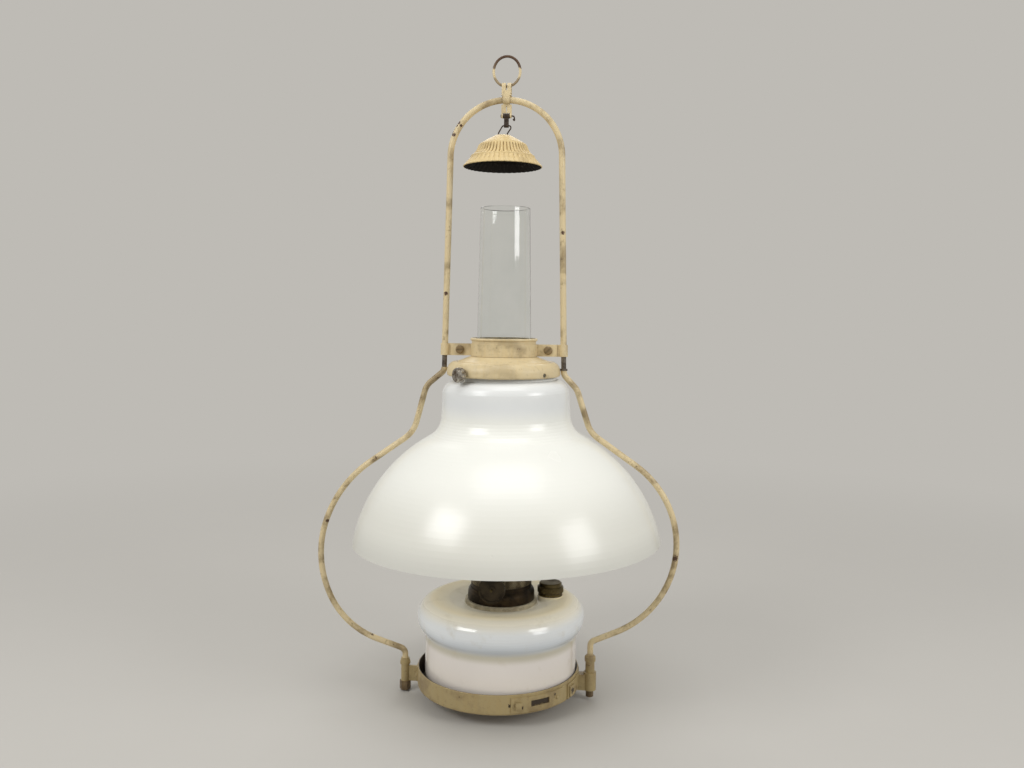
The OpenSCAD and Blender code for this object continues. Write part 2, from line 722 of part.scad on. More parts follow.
module flame_spreader() {
    color(bronze)
        translate([0, 0, burner_z])
            difference() {
                turned(concat([[11, 66], [11.8, 66], [11.8, 74], [12.4, 74], [12.4, 75.2], [11.2, 75.2]],
                    arc(1.2, 86, 10, 0, 80, 6), [[0, 96.2], [0, 95.2]], arc(1.2, 86, 9.2, 80, 0, 6), [[10.4, 75.2],
                    [11, 74]]), 64);
                for (k = [0 : 11])
                    rotate([0, 0, 30 * k]) translate([5, -0.6, 77]) cube([10, 1.2, 8]);
            }
}

module wick() {
    color([0.85, 0.82, 0.72])
        translate([0, 0, burner_z]) rotate([0, 0, wheel_az]) {
            difference() {
                tube(14, 12.8, -74.5, 78.5);
                // below the rack the wick goes on as a front and a rear tail
                for (m = [0, 1])
                    mirror([m, 0, 0]) translate([0, 0, -80]) linear_extrude(124)
                        polygon([[2, 0], [20, -16], [20, 16]]);
            }
        }
}

// The rack's outline: x is the distance from the shaft, y the height
module rack_profile(p) {
    h = 0.8;
    polygon(concat([[pitch_r + 2.9, 10], [pitch_r + 2.9, 52], [pitch_r + 0.8, 52], [pitch_r + 0.8, shaft_z + 7 * p]],
        [for (i = [6 : -1 : -5])
            let (c = shaft_z + (i + 0.5) * p)
            each [[pitch_r + 0.8, c + h / 2 + 0.26], [pitch_r - 0.55, c + h / 2 - 0.22],
                [pitch_r - 0.55, c - h / 2 + 0.22], [pitch_r + 0.8, c - h / 2 - 0.26]]],
        [[pitch_r + 0.8, 10]]));
}

module wick_carrier() {
    p = 2 * PI * pitch_r / 12;
    color(brass)
        translate([0, 0, burner_z]) rotate([0, 0, wheel_az]) {
            tube(14.5, 14, 46, 56);
            translate([0, -17, 0]) rotate([90, 0, 0])
                linear_extrude(3) rack_profile(p);
            translate([pitch_r + 0.8, -18, 48]) cube([2, 4.8, 4]);
        }
}

module wick_shaft() {
    color(brass)
        translate([0, 0, burner_z + shaft_z]) radial(wheel_az) translate([0, 0, 16.4]) cylinder(h = 38, r = 1.5, $fn = 32);
}

module wick_pinion() {
    n = 12;
    color(brass)
        translate([0, 0, burner_z + shaft_z]) radial(wheel_az) translate([0, 0, 17.1])
            difference() {
                linear_extrude(2.8)
                    polygon([for (i = [0 : n - 1])
                        let (a = 360 * i / n)
                        each [3.15 * [cos(a - 9), sin(a - 9)], 4.5 * [cos(a - 3), sin(a - 3)],
                            4.5 * [cos(a + 3), sin(a + 3)], 3.15 * [cos(a + 9), sin(a + 9)]]]);
                translate([0, 0, -1]) cylinder(h = 5, r = 1.5, $fn = 32);
            }
}

module thumbwheel() {
    n = 44;
    r = wheel_d / 2;
    color(brass)
        translate([0, 0, burner_z + shaft_z]) radial(wheel_az) translate([0, 0, 50])
            difference() {
                union() {
                    linear_extrude(3)
                        polygon([for (i = [0 : 2 * n - 1]) (r - 0.3 * (i % 2)) * [cos(180 * i / n), sin(180 * i / n)]]);
                    translate([0, 0, -3]) cylinder(h = 3.5, r = 3.6, $fn = 48);
                }
                translate([0, 0, 2.2]) difference() {
                    cylinder(h = 2, r = r - 2, $fn = 96);
                    translate([0, 0, -1]) cylinder(h = 4, r = 4, $fn = 48);
                }
                translate([0, 0, -5]) cylinder(h = 12, r = 1.5, $fn = 32);
            }
}

module gallery() {
    color(bronze)
        translate([0, 0, burner_z])
            difference() {
                union() {
                    turned([[31.3, 48], [32.1, 48], [32.1, 70], [35.4, 73.5], [35.4, 84], [34.6, 84], [34.6, 74.5],
                        [27, 74.5], [27, 73.5], [33.9, 73.5], [31.3, 70.4], [31.3, 55.4], [26, 55.4], [26, 54.6],
                        [31.3, 54.6]]);
                }
                for (k = [0 : 3]) {
                    rotate([0, 0, 20 + 90 * k - 90 - 22.5]) rotate_extrude(angle = 25, $fn = 144)
                        translate([30.8, 50.4]) square([2.4, 2.5]);
                    rotate([0, 0, 20 + 90 * k - 20]) translate([-1.5, -34, 47]) cube([3, 4, 4]);
                    rotate([0, 0, 45 + 90 * k]) translate([-9, -40, 76]) cube([18, 12, 10]);
                }
            }
}

module chimney() {
    h = chimney_h;
    k = chimney_top_r - 24.8;
    outer = concat([[31.6, 0]], arc(31.4, 4, 1.8, -60, 60, 5), [[31.4, 9], [30.6, 14], [30.1, 24], [29.5, 45],
        [28.8, 80], [28.1, 125], [27.3 + k / 3, 180], [26.6 + k / 2, 225], [25.6 + 0.8 * k, h - 42],
        [24.9 + k, h - 8], [24.8 + k, h - 0.6], [24.3 + k, h]]);
    inner = side(outer, -chimney_t);
    color([0.8, 0.86, 0.88, 0.35])
        translate([0, 0, chimney_z])
            turned(concat(outer, [[23.5 + k, h]], [for (i = [len(inner) - 2 : -1 : 1]) inner[i]], [[30, 0]]));
}

hanging_ring();
hanger_strap();
hanger_pin();
bell_link();
bell_loop();
smoke_bell();
bail();
left_arm();
right_arm();
rear_clamp_strap();
front_clamp_strap();
clamp_screws();
clamp_nuts();
shade_fitter();
shade();
shade_screw_front();
shade_screw_right();
shade_screw_left();
font_band();
band_clasp();
band_rivets();
left_socket();
right_socket();
arm_collars();
arm_nuts();
font();
font_collar();
filler_neck();
filler_gasket();
filler_cap();
burner_base();
burner_basket();
outer_wick_tube();
inner_wick_tube();
flame_spreader();
wick();
wick_carrier();
wick_shaft();
wick_pinion();
thumbwheel();
gallery();
chimney();
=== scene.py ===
import math

import bmesh
import bpy
from mathutils import Matrix, Vector


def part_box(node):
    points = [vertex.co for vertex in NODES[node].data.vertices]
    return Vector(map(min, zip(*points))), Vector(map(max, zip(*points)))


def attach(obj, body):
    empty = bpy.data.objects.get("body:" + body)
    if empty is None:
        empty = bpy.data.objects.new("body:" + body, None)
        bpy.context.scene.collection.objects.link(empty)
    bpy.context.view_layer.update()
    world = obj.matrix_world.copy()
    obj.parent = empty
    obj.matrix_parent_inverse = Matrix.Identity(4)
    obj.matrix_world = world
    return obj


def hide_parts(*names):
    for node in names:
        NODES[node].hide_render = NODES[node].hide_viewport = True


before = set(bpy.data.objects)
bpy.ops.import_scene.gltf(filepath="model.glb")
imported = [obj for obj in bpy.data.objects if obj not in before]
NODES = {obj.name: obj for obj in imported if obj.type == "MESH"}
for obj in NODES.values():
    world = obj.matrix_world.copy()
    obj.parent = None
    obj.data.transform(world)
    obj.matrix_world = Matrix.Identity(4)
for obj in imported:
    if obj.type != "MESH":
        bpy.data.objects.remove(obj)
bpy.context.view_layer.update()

bl_info = {
    "name": "Hanging oil lamp",
    "version": (1, 0, 0),
    "blender": (4, 5, 0),
    "location": "3D View > Sidebar > Lamp",
    "description": "Dresses the packed hanging oil lamp: worn cream paint, opal and clear glass, dark bronze burner",
    "category": "Object",
}

MM = 0.001

# Levels of the lamp's pieces, in metres from the inside top of the hanging ring's wire
HANGER_PIN = -0.0561
BELL_TOP = -0.0746
LEG_END = -0.2927
ARM_TOP = LEG_END - 0.012
RIM = LEG_END - 0.185
BAND_FOOT = LEG_END - 0.3376
FONT_FOOT = BAND_FOOT + 0.0012
BURNER = FONT_FOOT + 0.0887
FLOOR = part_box("left_arm")[0][2] - 0.0005

# The wheel's shaft: its angle from the front, and its height over the burner's foot
WHEEL_TURN = math.radians(-4.4)
SHAFT_RISE = 22.5 * MM

# The bail: how far its legs lean out, the radius of its arch, the legs' length and where they end
LEAN = math.radians(1.35)
ARCH = 0.0555
LEG = (0.252 - ARCH + ARCH * math.sin(LEAN)) / math.cos(LEAN)
LEG_X = ARCH * math.cos(LEAN) + LEG * math.sin(LEAN)
ARM_X = LEG_X + 0.012 * math.tan(LEAN)

# The arms' ends: length and radius of the plug in the bail's leg, length and radius of the thread in the eye, the
# shoulder's width over the rod, and the run in which a rod steps from one radius to the next
PLUG, PLUG_R = 28 * MM, 2.5 * MM
THREAD, THREAD_R = 8 * MM, 2 * MM
SHOULDER = 0.8 * MM
STEP = 0.05 * MM

# The bell and the band stand a little to the left of the axis
BELL_X = -0.00325
BAND_X = -0.0025

# The camera: focal length and picture width in pixels, distance from the axis and height in metres, and in degrees
# the side it stands on, how it is turned, tipped down and rolled
FOCAL, PICTURE, FILM = 920, 1024, 36
CAMERA_AWAY, CAMERA_LEVEL = 0.925, -0.2477
CAMERA_ANGLES = (6, 0.53, 4.53, -0.68)

# Soft lights: name, azimuth and elevation in degrees, distance, width and height in metres, watts
SOFT_LIGHTS = [("light_left", -46, 34, 1.7, 0.75, 0.6, 10), ("light_right", 62, 24, 1.7, 0.7, 0.7, 8.5),
               ("light_top", 10, 78, 1.9, 1.4, 0.9, 9), ("light_back", 190, 40, 2.2, 1.6, 1.0, 9)]
LIT_LEVEL = -0.42

# Bends of a rod: straight run in mm, turn in degrees, radius of the turn in mm
LEFT_BENDS = [(0, 50, 8), (14, -35, 20), (32, 40, 32), (43, -38, 126), (0, -42, 107), (0, -47, 83), (26.5, 72, 7)]
RIGHT_BENDS = [(2, 43, 10), (11.5, -25, 21), (31.5, 37, 27.5), (47, -121, 99), (24, 66, 6)]
LOOP_BENDS = [(1.2, 30, 3), (6.235, 60, 2), (5.1, 100, 1.9), (0, 25, 3), (4.6, -35, 1.5), (1.04, 0, 1)]
CURL_BENDS = [(0.6, 90, 2), (0.4, 60, 2.2)]

# The bell's outline: radius and height as parts of the whole, depth of the ribs, depth of the scallops
BELL_OUTLINE = [(0.115, 0, 0, 0), (0.2, 0.02, 0, 0), (0.4, 0.155, 0, 0), (0.58, 0.295, 0, 0), (0.61, 0.33, 1, 0),
                (0.65, 0.46, 1.4, 0), (0.69, 0.55, 1.6, 0), (0.735, 0.605, 1.6, 0), (0.78, 0.655, 0.8, 0),
                (0.8, 0.67, 0, 0), (0.812, 0.69, 0, 0), (0.812, 0.715, 0, 0), (0.818, 0.735, 0, 0.4),
                (0.862, 0.8, 0, 1.6), (0.95, 0.92, 0, 1.4), (1, 1, 0, 0.5)]


def tint(red, green, blue):
    """A colour as the eye reads it from 0 to 255, in linear light."""
    return tuple(((c / 255 + 0.055) / 1.055) ** 2.4 if c > 10 else c / 255 / 12.92 for c in (red, green, blue)) + (1,)


def size(name, text, metres):
    return bpy.props.FloatProperty(name=name, description=text, default=metres, unit="LENGTH", precision=4)


def number_of(name, text, number, least):
    return bpy.props.IntProperty(name=name, description=text, default=number, min=least)


def share_of(name, text, value, least, most):
    return bpy.props.FloatProperty(name=name, description=text, default=value, min=least, max=most)


def colour(name, text, value):
    return bpy.props.FloatVectorProperty(name=name, description=text, default=value, size=4, subtype="COLOR",
                                         min=0, max=1)


class LampSizes(bpy.types.PropertyGroup):
    bail_d: size("Bail tube", "Outer diameter of the bail's tube", 6.2 * MM)
    rod_d: size("Arm rod", "Diameter of the arms' rod", 6 * MM)
    loop_d: size("Bell wire", "Thickness of the wire loop on the smoke bell", 1.3 * MM)
    ring_w: size("Ring width", "Outer width of the hanging ring", 28.8 * MM)
    ring_h: size("Ring height", "Outer height of the hanging ring", 31.5 * MM)
    ring_d: size("Ring wire", "Thickness of the hanging ring's wire", 2.6 * MM)
    seam: share_of("Bail seam", "Depth of the rolled tube's seam as part of its radius", 0.24, 0, 0.5)
    sides: number_of("Rod sides", "Sides round each rod and tube", 36, 12)
    bell_r: size("Bell radius", "Radius of the smoke bell's rim", 39.4 * MM)
    bell_h: size("Bell height", "Height of the smoke bell", 30.8 * MM)
    bell_t: size("Bell sheet", "Thickness of the smoke bell's sheet", 0.9 * MM)
    scallops: number_of("Scallops", "Scallops round the bell's skirt", 44, 8)
    ribs: number_of("Ribs", "Pressed ribs round the bell's crown", 48, 8)
    hole_columns: number_of("Holes round the basket", "Holes in each row of the basket", 84, 20)
    hole_rows: number_of("Rows of holes", "Rows of holes in the basket", 29, 3)
    hole_part: share_of("Hole size", "Width of a hole as part of its cell", 0.62, 0.2, 0.9)


class LampColours(bpy.types.PropertyGroup):
    cream: colour("Cream", "Worn paint of the frame", tint(212, 194, 154))
    bell: colour("Bell", "Paint of the smoke bell", tint(214, 190, 138))
    olive: colour("Olive", "Paint of the font band", tint(166, 148, 106))
    grime: colour("Grime", "Dirt that has settled in the paint", tint(132, 112, 78))
    rust: colour("Rust", "Bare places and rust", tint(78, 52, 34))
    steel: colour("Steel", "Bare steel", tint(120, 112, 102))
    nickel: colour("Nickel", "Plate of the thumb screws", tint(205, 200, 190))
    bronze: colour("Bronze", "Darkened brass of the burner", tint(66, 54, 38))
    brass: colour("Brass", "Tarnished brass of the filler cap and the wick's shaft", tint(104, 92, 62))
    opal: colour("Opal", "White glass of the shade", tint(240, 240, 232))
    font: colour("Font", "White glass of the font's wall", tint(228, 220, 210))
    clear: colour("Clear", "Clear glass of the chimney", tint(252, 253, 252))
    wick: colour("Wick", "Cotton", tint(216, 206, 180))
    floor: colour("Floor", "Pale floor and background", tint(190, 187, 181))


def sizes():
    return bpy.context.scene.lamp_sizes


def colours():
    return bpy.context.scene.lamp_colours


# Nodes

def put(tree, kind, values=None, **settings):
    """Adds a node with its settings; values by input name or number are constants or sockets to link."""
    node = tree.nodes.new(kind)
    for key, value in settings.items():
        setattr(node, key, value)
    for key, value in (values or {}).items():
        socket = node.inputs[key]
        if isinstance(value, bpy.types.NodeSocket):
            tree.links.new(value, socket)
        else:
            socket.default_value = value
    return node


def one(tree, kind, values=None, **settings):
    """Adds a node and gives its first output."""
    return put(tree, kind, values, **settings).outputs[0]


def calc(tree, operation, a, b=None):
    values = {i: v for i, v in enumerate((a, b)) if v is not None}
    return one(tree, "ShaderNodeMath", values, operation=operation)


def times(tree, a, b):
    return calc(tree, "MULTIPLY", a, b)


def plus(tree, a, b):
    return calc(tree, "ADD", a, b)


def minus(tree, a, b):
    return calc(tree, "SUBTRACT", a, b)


def scaled(tree, value, by, more):
    return plus(tree, times(tree, value, by), more)


def vector(tree, operation, values):
    """The first output of a vector calculation, which is the number for a length or a distance."""
    node = put(tree, "ShaderNodeVectorMath", values, operation=operation)
    return node.outputs["Value" if operation in ("LENGTH", "DISTANCE") else "Vector"]


def axes(tree, place):
    return put(tree, "ShaderNodeSeparateXYZ", {0: place}).outputs


def blend_colour(tree, mask, a, b, way="MIX"):
    return put(tree, "ShaderNodeMix", {0: mask, 6: a, 7: b}, data_type="RGBA", blend_type=way).outputs[2]


def noise(tree, vector, scale, detail=4.0, roughness=0.55):
    return one(tree, "ShaderNodeTexNoise", {"Vector": vector, "Scale": scale, "Detail": detail,
                                            "Roughness": roughness})


def step_mask(tree, value, low, high):
    return one(tree, "ShaderNodeMapRange", {"Value": value, "From Min": low, "From Max": high},
               interpolation_type="SMOOTHSTEP")


def group(name, kind, takes, gives):
    """A node group with its inputs and outputs; takes and gives hold the socket kind under each name."""
    tree = bpy.data.node_groups.new(name, kind)
    for way, sockets in (("INPUT", takes), ("OUTPUT", gives)):
        for label, sort in sockets.items():
            tree.interface.new_socket(name=label, in_out=way, socket_type="NodeSocket" + sort)
    return tree, tree.nodes.new("NodeGroupInput").outputs, tree.nodes.new("NodeGroupOutput").inputs


def worn_paint_group():
    """Brushed paint that has yellowed, gathered dirt and chipped down to rust."""
    tree, given, made = group(
        "worn_paint", "ShaderNodeTree",
        {"Vector": "Vector", "Paint": "Color", "Grime": "Color", "Rust": "Color", "Dirt": "Float", "Chips": "Float"},
        {"Color": "Color", "Roughness": "Float", "Height": "Float"})
    broad = noise(tree, given["Vector"], 38.0, 5.0, 0.6)
    middle = noise(tree, given["Vector"], 210.0, 8.0, 0.66)
    fine = noise(tree, given["Vector"], 1500.0, 3.0, 0.5)
    runs = noise(tree, vector(tree, "MULTIPLY", {0: given["Vector"], 1: (1.0, 1.0, 0.12)}), 320.0, 4.0, 0.6)
    light = blend_colour(tree, step_mask(tree, runs, 0.42, 0.62), given["Paint"], (1.0, 0.98, 0.93, 1), "MULTIPLY")
    mottled = blend_colour(tree, times(tree, step_mask(tree, broad, 0.46, 0.66), given["Dirt"]), light,
                           given["Grime"])
    speck = times(tree, step_mask(tree, middle, 0.56, 0.7), times(tree, given["Dirt"], 0.75))
    dirty = blend_colour(tree, speck, mottled, given["Grime"])
    level = plus(tree, middle, times(tree, minus(tree, broad, 0.5), 0.55))
    edge = minus(tree, 0.8, times(tree, given["Chips"], 0.24))
    chips = step_mask(tree, minus(tree, level, edge), 0.0, 0.025)
    tree.links.new(blend_colour(tree, chips, dirty, given["Rust"]), made["Color"])
    rough = plus(tree, times(tree, middle, 0.25), times(tree, chips, 0.3))
    tree.links.new(plus(tree, rough, 0.3), made["Roughness"])
    relief = plus(tree, times(tree, middle, 0.55), times(tree, fine, 0.18))
    tree.links.new(minus(tree, relief, times(tree, chips, 0.5)), made["Height"])
    return tree


def tarnish_group():
    """Metal whose bright and dark places run into each other, with fine handling marks."""
    tree, given, made = group(
        "tarnish", "ShaderNodeTree",
        {"Vector": "Vector", "Bright": "Color", "Dark": "Color", "Scale": "Float", "Polish": "Float"},
        {"Color": "Color", "Roughness": "Float", "Height": "Float"})
    broad = noise(tree, given["Vector"], given["Scale"], 7.0, 0.62)
    fine = noise(tree, given["Vector"], times(tree, given["Scale"], 9.0), 3.0, 0.5)
    mask = step_mask(tree, plus(tree, times(tree, broad, 0.85), times(tree, fine, 0.15)), 0.34, 0.66)
    tree.links.new(blend_colour(tree, mask, given["Bright"], given["Dark"]), made["Color"])
    tree.links.new(plus(tree, given["Polish"], times(tree, mask, 0.25)), made["Roughness"])
    tree.links.new(plus(tree, times(tree, broad, 0.5), times(tree, fine, 0.35)), made["Height"])
    return tree


def patch_group():
    """A ragged round patch at a given place."""
    tree, given, made = group("patch", "ShaderNodeTree",
                              {"Vector": "Vector", "Centre": "Vector", "Radius": "Float"}, {"Mask": "Float"})
    reach = vector(tree, "DISTANCE", {0: given["Vector"], 1: given["Centre"]})
    ragged = times(tree, noise(tree, given["Vector"], 700.0, 5.0, 0.7), times(tree, given["Radius"], 3.0))
    near = minus(tree, times(tree, given["Radius"], 2.4), plus(tree, reach, ragged))
    tree.links.new(step_mask(tree, calc(tree, "DIVIDE", near, given["Radius"]), 0.0, 0.12), made["Mask"])
    return tree


def shared(maker, name):
    return bpy.data.node_groups.get(name) or maker()


def shader_group(tree, maker, name, values):
    """A node of a shared shader group, with its inputs set."""
    return put(tree, "ShaderNodeGroup", values, node_tree=shared(maker, name)).outputs


def finish_with(tree, shader, relief, tone, rough, height):
    """Links a material's colour, roughness and relief."""
    tree.links.new(tone, shader.inputs["Base Color"])
    tree.links.new(rough, shader.inputs["Roughness"])
    tree.links.new(height, relief.inputs["Height"])


def overlay(material, mask_of, tone):
    """Lays a colour over a material's own one; mask_of(tree, place) makes the mask from object coordinates."""
    tree = material.node_tree
    paint = tree.nodes["Principled BSDF"].inputs["Base Color"]
    place = next(n for n in tree.nodes if n.type == "TEX_COORD").outputs["Object"]
    tree.links.new(blend_colour(tree, mask_of(tree, place), paint.links[0].from_socket, tone), paint)


def new_finish(name, metallic=0.0, bump=0.0004, strength=0.5, specular=0.5):
    """A material with its Principled shader, a Bump node on it and object coordinates."""
    material = bpy.data.materials.new(name)
    material.use_nodes = True
    tree = material.node_tree
    shader = tree.nodes["Principled BSDF"]
    shader.inputs["Metallic"].default_value = metallic
    shader.inputs["Specular IOR Level"].default_value = specular
    relief = put(tree, "ShaderNodeBump", {"Strength": strength, "Distance": bump})
    tree.links.new(relief.outputs[0], shader.inputs["Normal"])
    place = put(tree, "ShaderNodeTexCoord").outputs["Object"]
    return material, tree, shader, relief, place


def painted(name, paint, dirt=0.5, chips=0.3, patches=(), strength=0.5, under=None):
    material, tree, shader, relief, place = new_finish(name, bump=0.0005, strength=strength)
    patchy = shader_group(tree, worn_paint_group, "worn_paint",
                        {"Vector": place, "Paint": paint, "Grime": colours().grime, "Rust": colours().rust,
                         "Dirt": dirt, "Chips": chips})
    top = patchy["Color"]
    for centre, radius in patches:
        spot = shader_group(tree, patch_group, "patch", {"Vector": place, "Centre": centre, "Radius": radius})
        top = blend_colour(tree, spot[0], top, under or colours().rust)
    finish_with(tree, shader, relief, top, patchy["Roughness"], patchy["Height"])
    return material


def grooves_group():
    """Sharp lines between a number of ribs round an upright axis, faded out below and above two levels; the mask for
    painted shade in a bell's grooves.
    """
    tree, given, made = group(
        "grooves", "ShaderNodeTree",
        {"Vector": "Vector", "Axis X": "Float", "Ribs": "Float", "Low": "Float", "High": "Float", "Width": "Float"},
        {"Mask": "Float"})
    way = axes(tree, given["Vector"])
    angle = calc(tree, "ARCTAN2", way["Y"], minus(tree, way["X"], given["Axis X"]))
    turn = calc(tree, "SINE", times(tree, times(tree, angle, given["Ribs"]), 0.5))
    line = step_mask(tree, calc(tree, "ABSOLUTE", turn), times(tree, given["Width"], 1.6),
                     times(tree, given["Width"], 0.4))
    above = step_mask(tree, minus(tree, way["Z"], given["Low"]), -0.5 * MM, 0.5 * MM)
    below = step_mask(tree, minus(tree, given["High"], way["Z"]), -0.5 * MM, 0.5 * MM)
    patchy = step_mask(tree, noise(tree, given["Vector"], 260.0, 4.0, 0.6), 0.3, 0.6)
    level = times(tree, times(tree, above, below), patchy)
    tree.links.new(times(tree, line, level), made["Mask"])
    return tree


def metal(name, bright, dark, scale=120.0, polish=0.3, metallic=0.9, strength=0.4):
    material, tree, shader, relief, place = new_finish(name, metallic=metallic, bump=0.0002, strength=strength)
    tarnish = shader_group(tree, tarnish_group, "tarnish",
                           {"Vector": place, "Bright": bright, "Dark": dark, "Scale": scale, "Polish": polish})
    finish_with(tree, shader, relief, tarnish["Color"], tarnish["Roughness"], tarnish["Height"])
    return material


def height_bands(tree, place, low, high, tone_and_painted_light):
    """Colours up the lamp between two levels with the glass's own tone together with painted shade and painted
    reflections; the bands are (part of the way up, colour).
    """
    up = axes(tree, place)["Z"]
    part = one(tree, "ShaderNodeMapRange", {"Value": up, "From Min": low, "From Max": high})
    ramp = put(tree, "ShaderNodeValToRGB", {0: part})
    ramp.color_ramp.interpolation = "EASE"
    while len(ramp.color_ramp.elements) < len(tone_and_painted_light):
        ramp.color_ramp.elements.new(0.5)
    for element, (position, value) in zip(ramp.color_ramp.elements, tone_and_painted_light):
        element.position = position
        element.color = value
    return ramp.outputs[0]


def opal_shade():
    material, tree, shader, relief, place = new_finish("opal_shade_glass", bump=0.0003, strength=0.25)
    base = colours().opal
    cool = blend_colour(tree, 0.5, base, tint(222, 225, 224))
    # The bands darken the white glass towards the rim and at the neck: painted shade.
    tone_and_painted_light = height_bands(tree, place, RIM, RIM + 0.175,
                         [(0.0, tint(206, 205, 196)), (0.16, tint(222, 221, 211)), (0.45, base), (0.68, base),
                          (0.8, tint(222, 224, 224)), (1.0, tint(236, 236, 231))])
    cloud = noise(tree, place, 14.0, 1.0, 0.4)
    body = blend_colour(tree, times(tree, cloud, 0.25), tone_and_painted_light, cool)
    seeds = put(tree, "ShaderNodeTexVoronoi", {"Vector": place, "Scale": 55.0}).outputs["Distance"]
    pits = step_mask(tree, seeds, 0.03, 0.075)
    ripple = noise(tree, place, 22.0, 2.0, 0.4)
    finish_with(tree, shader, relief, body, scaled(tree, ripple, 0.06, 0.23),
                plus(tree, times(tree, pits, 0.8), times(tree, ripple, 1.5)))
    shader.inputs["Coat Weight"].default_value = 0.2
    shader.inputs["Coat Roughness"].default_value = 0.2
    return material


def opal_font():
    material, tree, shader, relief, place = new_finish("opal_font_glass", bump=0.0003, strength=0.2)
    # The cream top is a painted reflection of the shade's inside, the bluish bulge a painted reflection of the bright
    # surroundings, and the darker band at the groove painted shade; the lower wall keeps the glass's own tone.
    tone_and_painted_light = height_bands(tree, place, FONT_FOOT, FONT_FOOT + 0.09,
                         [(0.0, tint(220, 208, 198)), (0.25, colours().font), (0.5, tint(228, 221, 214)),
                          (0.585, tint(196, 190, 172)), (0.66, tint(216, 223, 230)), (0.84, tint(228, 231, 232)),
                          (0.975, tint(238, 231, 212)), (1.0, tint(246, 233, 200))])
    dust = noise(tree, place, 60.0, 6.0, 0.6)
    body = blend_colour(tree, times(tree, step_mask(tree, dust, 0.55, 0.75), 0.25), tone_and_painted_light,
                        tint(190, 178, 150))
    dusty = step_mask(tree, axes(tree, place)["Z"], FONT_FOOT + 0.082, FONT_FOOT + 0.089)
    film = plus(tree, times(tree, dust, 0.15), times(tree, dusty, 0.3))
    finish_with(tree, shader, relief, body, plus(tree, film, 0.08), noise(tree, place, 26.0, 2.0, 0.4))
    tree.links.new(minus(tree, 0.35, times(tree, dusty, 0.3)), shader.inputs["Coat Weight"])
    shader.inputs["Coat Roughness"].default_value = 0.06
    return material


def clear_glass():
    material, tree, shader, relief, place = new_finish("chimney_glass", bump=0.0002, strength=0.15)
    shader.inputs["Transmission Weight"].default_value = 1.0
    shader.inputs["IOR"].default_value = 1.46
    haze = step_mask(tree, noise(tree, place, 30.0, 5.0, 0.6), 0.35, 0.75)
    body = blend_colour(tree, times(tree, haze, 0.4), colours().clear, tint(240, 243, 241))
    finish_with(tree, shader, relief, body, times(tree, haze, 0.05), noise(tree, place, 18.0, 2.0, 0.4))
    return material


def soot():
    material, tree, shader, relief, place = new_finish("soot", bump=0.0004, strength=0.5, specular=0.2)
    dark = noise(tree, place, 90.0, 6.0, 0.6)
    finish_with(tree, shader, relief, blend_colour(tree, dark, tint(16, 14, 12), tint(44, 38, 32)),
                scaled(tree, dark, 0.2, 0.7), dark)
    return material


def rubber():
    material, tree, shader, relief, place = new_finish("gasket", bump=0.0002)
    grain = noise(tree, place, 900.0, 4.0, 0.6)
    finish_with(tree, shader, relief, blend_colour(tree, grain, tint(26, 25, 24), tint(58, 54, 50)),
                scaled(tree, grain, 0.3, 0.5), grain)
    return material


def woven_wick():
    material, tree, shader, relief, place = new_finish("wick_cotton_weave", bump=0.0004, strength=0.8, specular=0.2)
    way = axes(tree, place)
    turn = calc(tree, "ARCTAN2", way["Y"], way["X"])
    warp = calc(tree, "SINE", times(tree, turn, 88.0))
    weft = calc(tree, "SINE", times(tree, way["Z"], 4400.0))
    weave = scaled(tree, times(tree, warp, weft), 0.5, 0.5)
    ragged = plus(tree, way["Z"], times(tree, noise(tree, place, 300.0), 0.004))
    burnt = step_mask(tree, ragged, BURNER + 0.0745, BURNER + 0.078)
    thread = blend_colour(tree, weave, tint(178, 166, 138), colours().wick)
    finish_with(tree, shader, relief, blend_colour(tree, burnt, thread, tint(30, 26, 22)),
                scaled(tree, weave, 0.1, 0.85), weave)
    return material


def wear(material, *names):
    """Gives carried-over parts their finish."""
    for part in (NODES[name] for name in names):
        if not part.material_slots:
            part.data.materials.append(None)
        for holder in part.material_slots:
            holder.link = "OBJECT"
            holder.material = material


# Shapes

def new_piece(name, mesh, materials=()):
    piece = bpy.data.objects.new(name, mesh)
    bpy.context.scene.collection.objects.link(piece)
    for material in materials:
        mesh.materials.append(material)
    return piece


def made_by(piece, tree, **values):
    """Runs a geometry tree on the piece, with its inputs set by identifier, and keeps the result as a plain mesh."""
    modifier = piece.modifiers.new(tree.name, "NODES")
    modifier.node_group = tree
    keys = {s.name: s.identifier for s in tree.interface.items_tree if s.in_out == "INPUT"}
    for label, value in values.items():
        modifier[keys[label.replace("_", " ").title()]] = value
    piece.data.update()
    graph = bpy.context.evaluated_depsgraph_get()
    mesh = bpy.data.meshes.new_from_object(piece.evaluated_get(graph), preserve_all_data_layers=True, depsgraph=graph)
    piece.modifiers.clear()
    piece.data = mesh
    return piece


def settle(piece, body, slot, *nodes, angle=35.0):
    """Smooths a finished piece, and says what it rides on and stands for."""
    mesh = piece.data
    if not mesh.polygons:
        raise RuntimeError(piece.name + " came out empty")
    mesh.polygons.foreach_set("use_smooth", [True] * len(mesh.polygons))
    mesh.set_sharp_from_angle(angle=math.radians(angle))
    mesh.update()
    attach(piece, body)
    if nodes:
        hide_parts(*nodes)


def outward(mesh):
    work = bmesh.new()
    work.from_mesh(mesh)
    bmesh.ops.remove_doubles(work, verts=work.verts, dist=1e-7)
    bmesh.ops.recalc_face_normals(work, faces=work.faces)
    work.to_mesh(mesh)
    work.free()


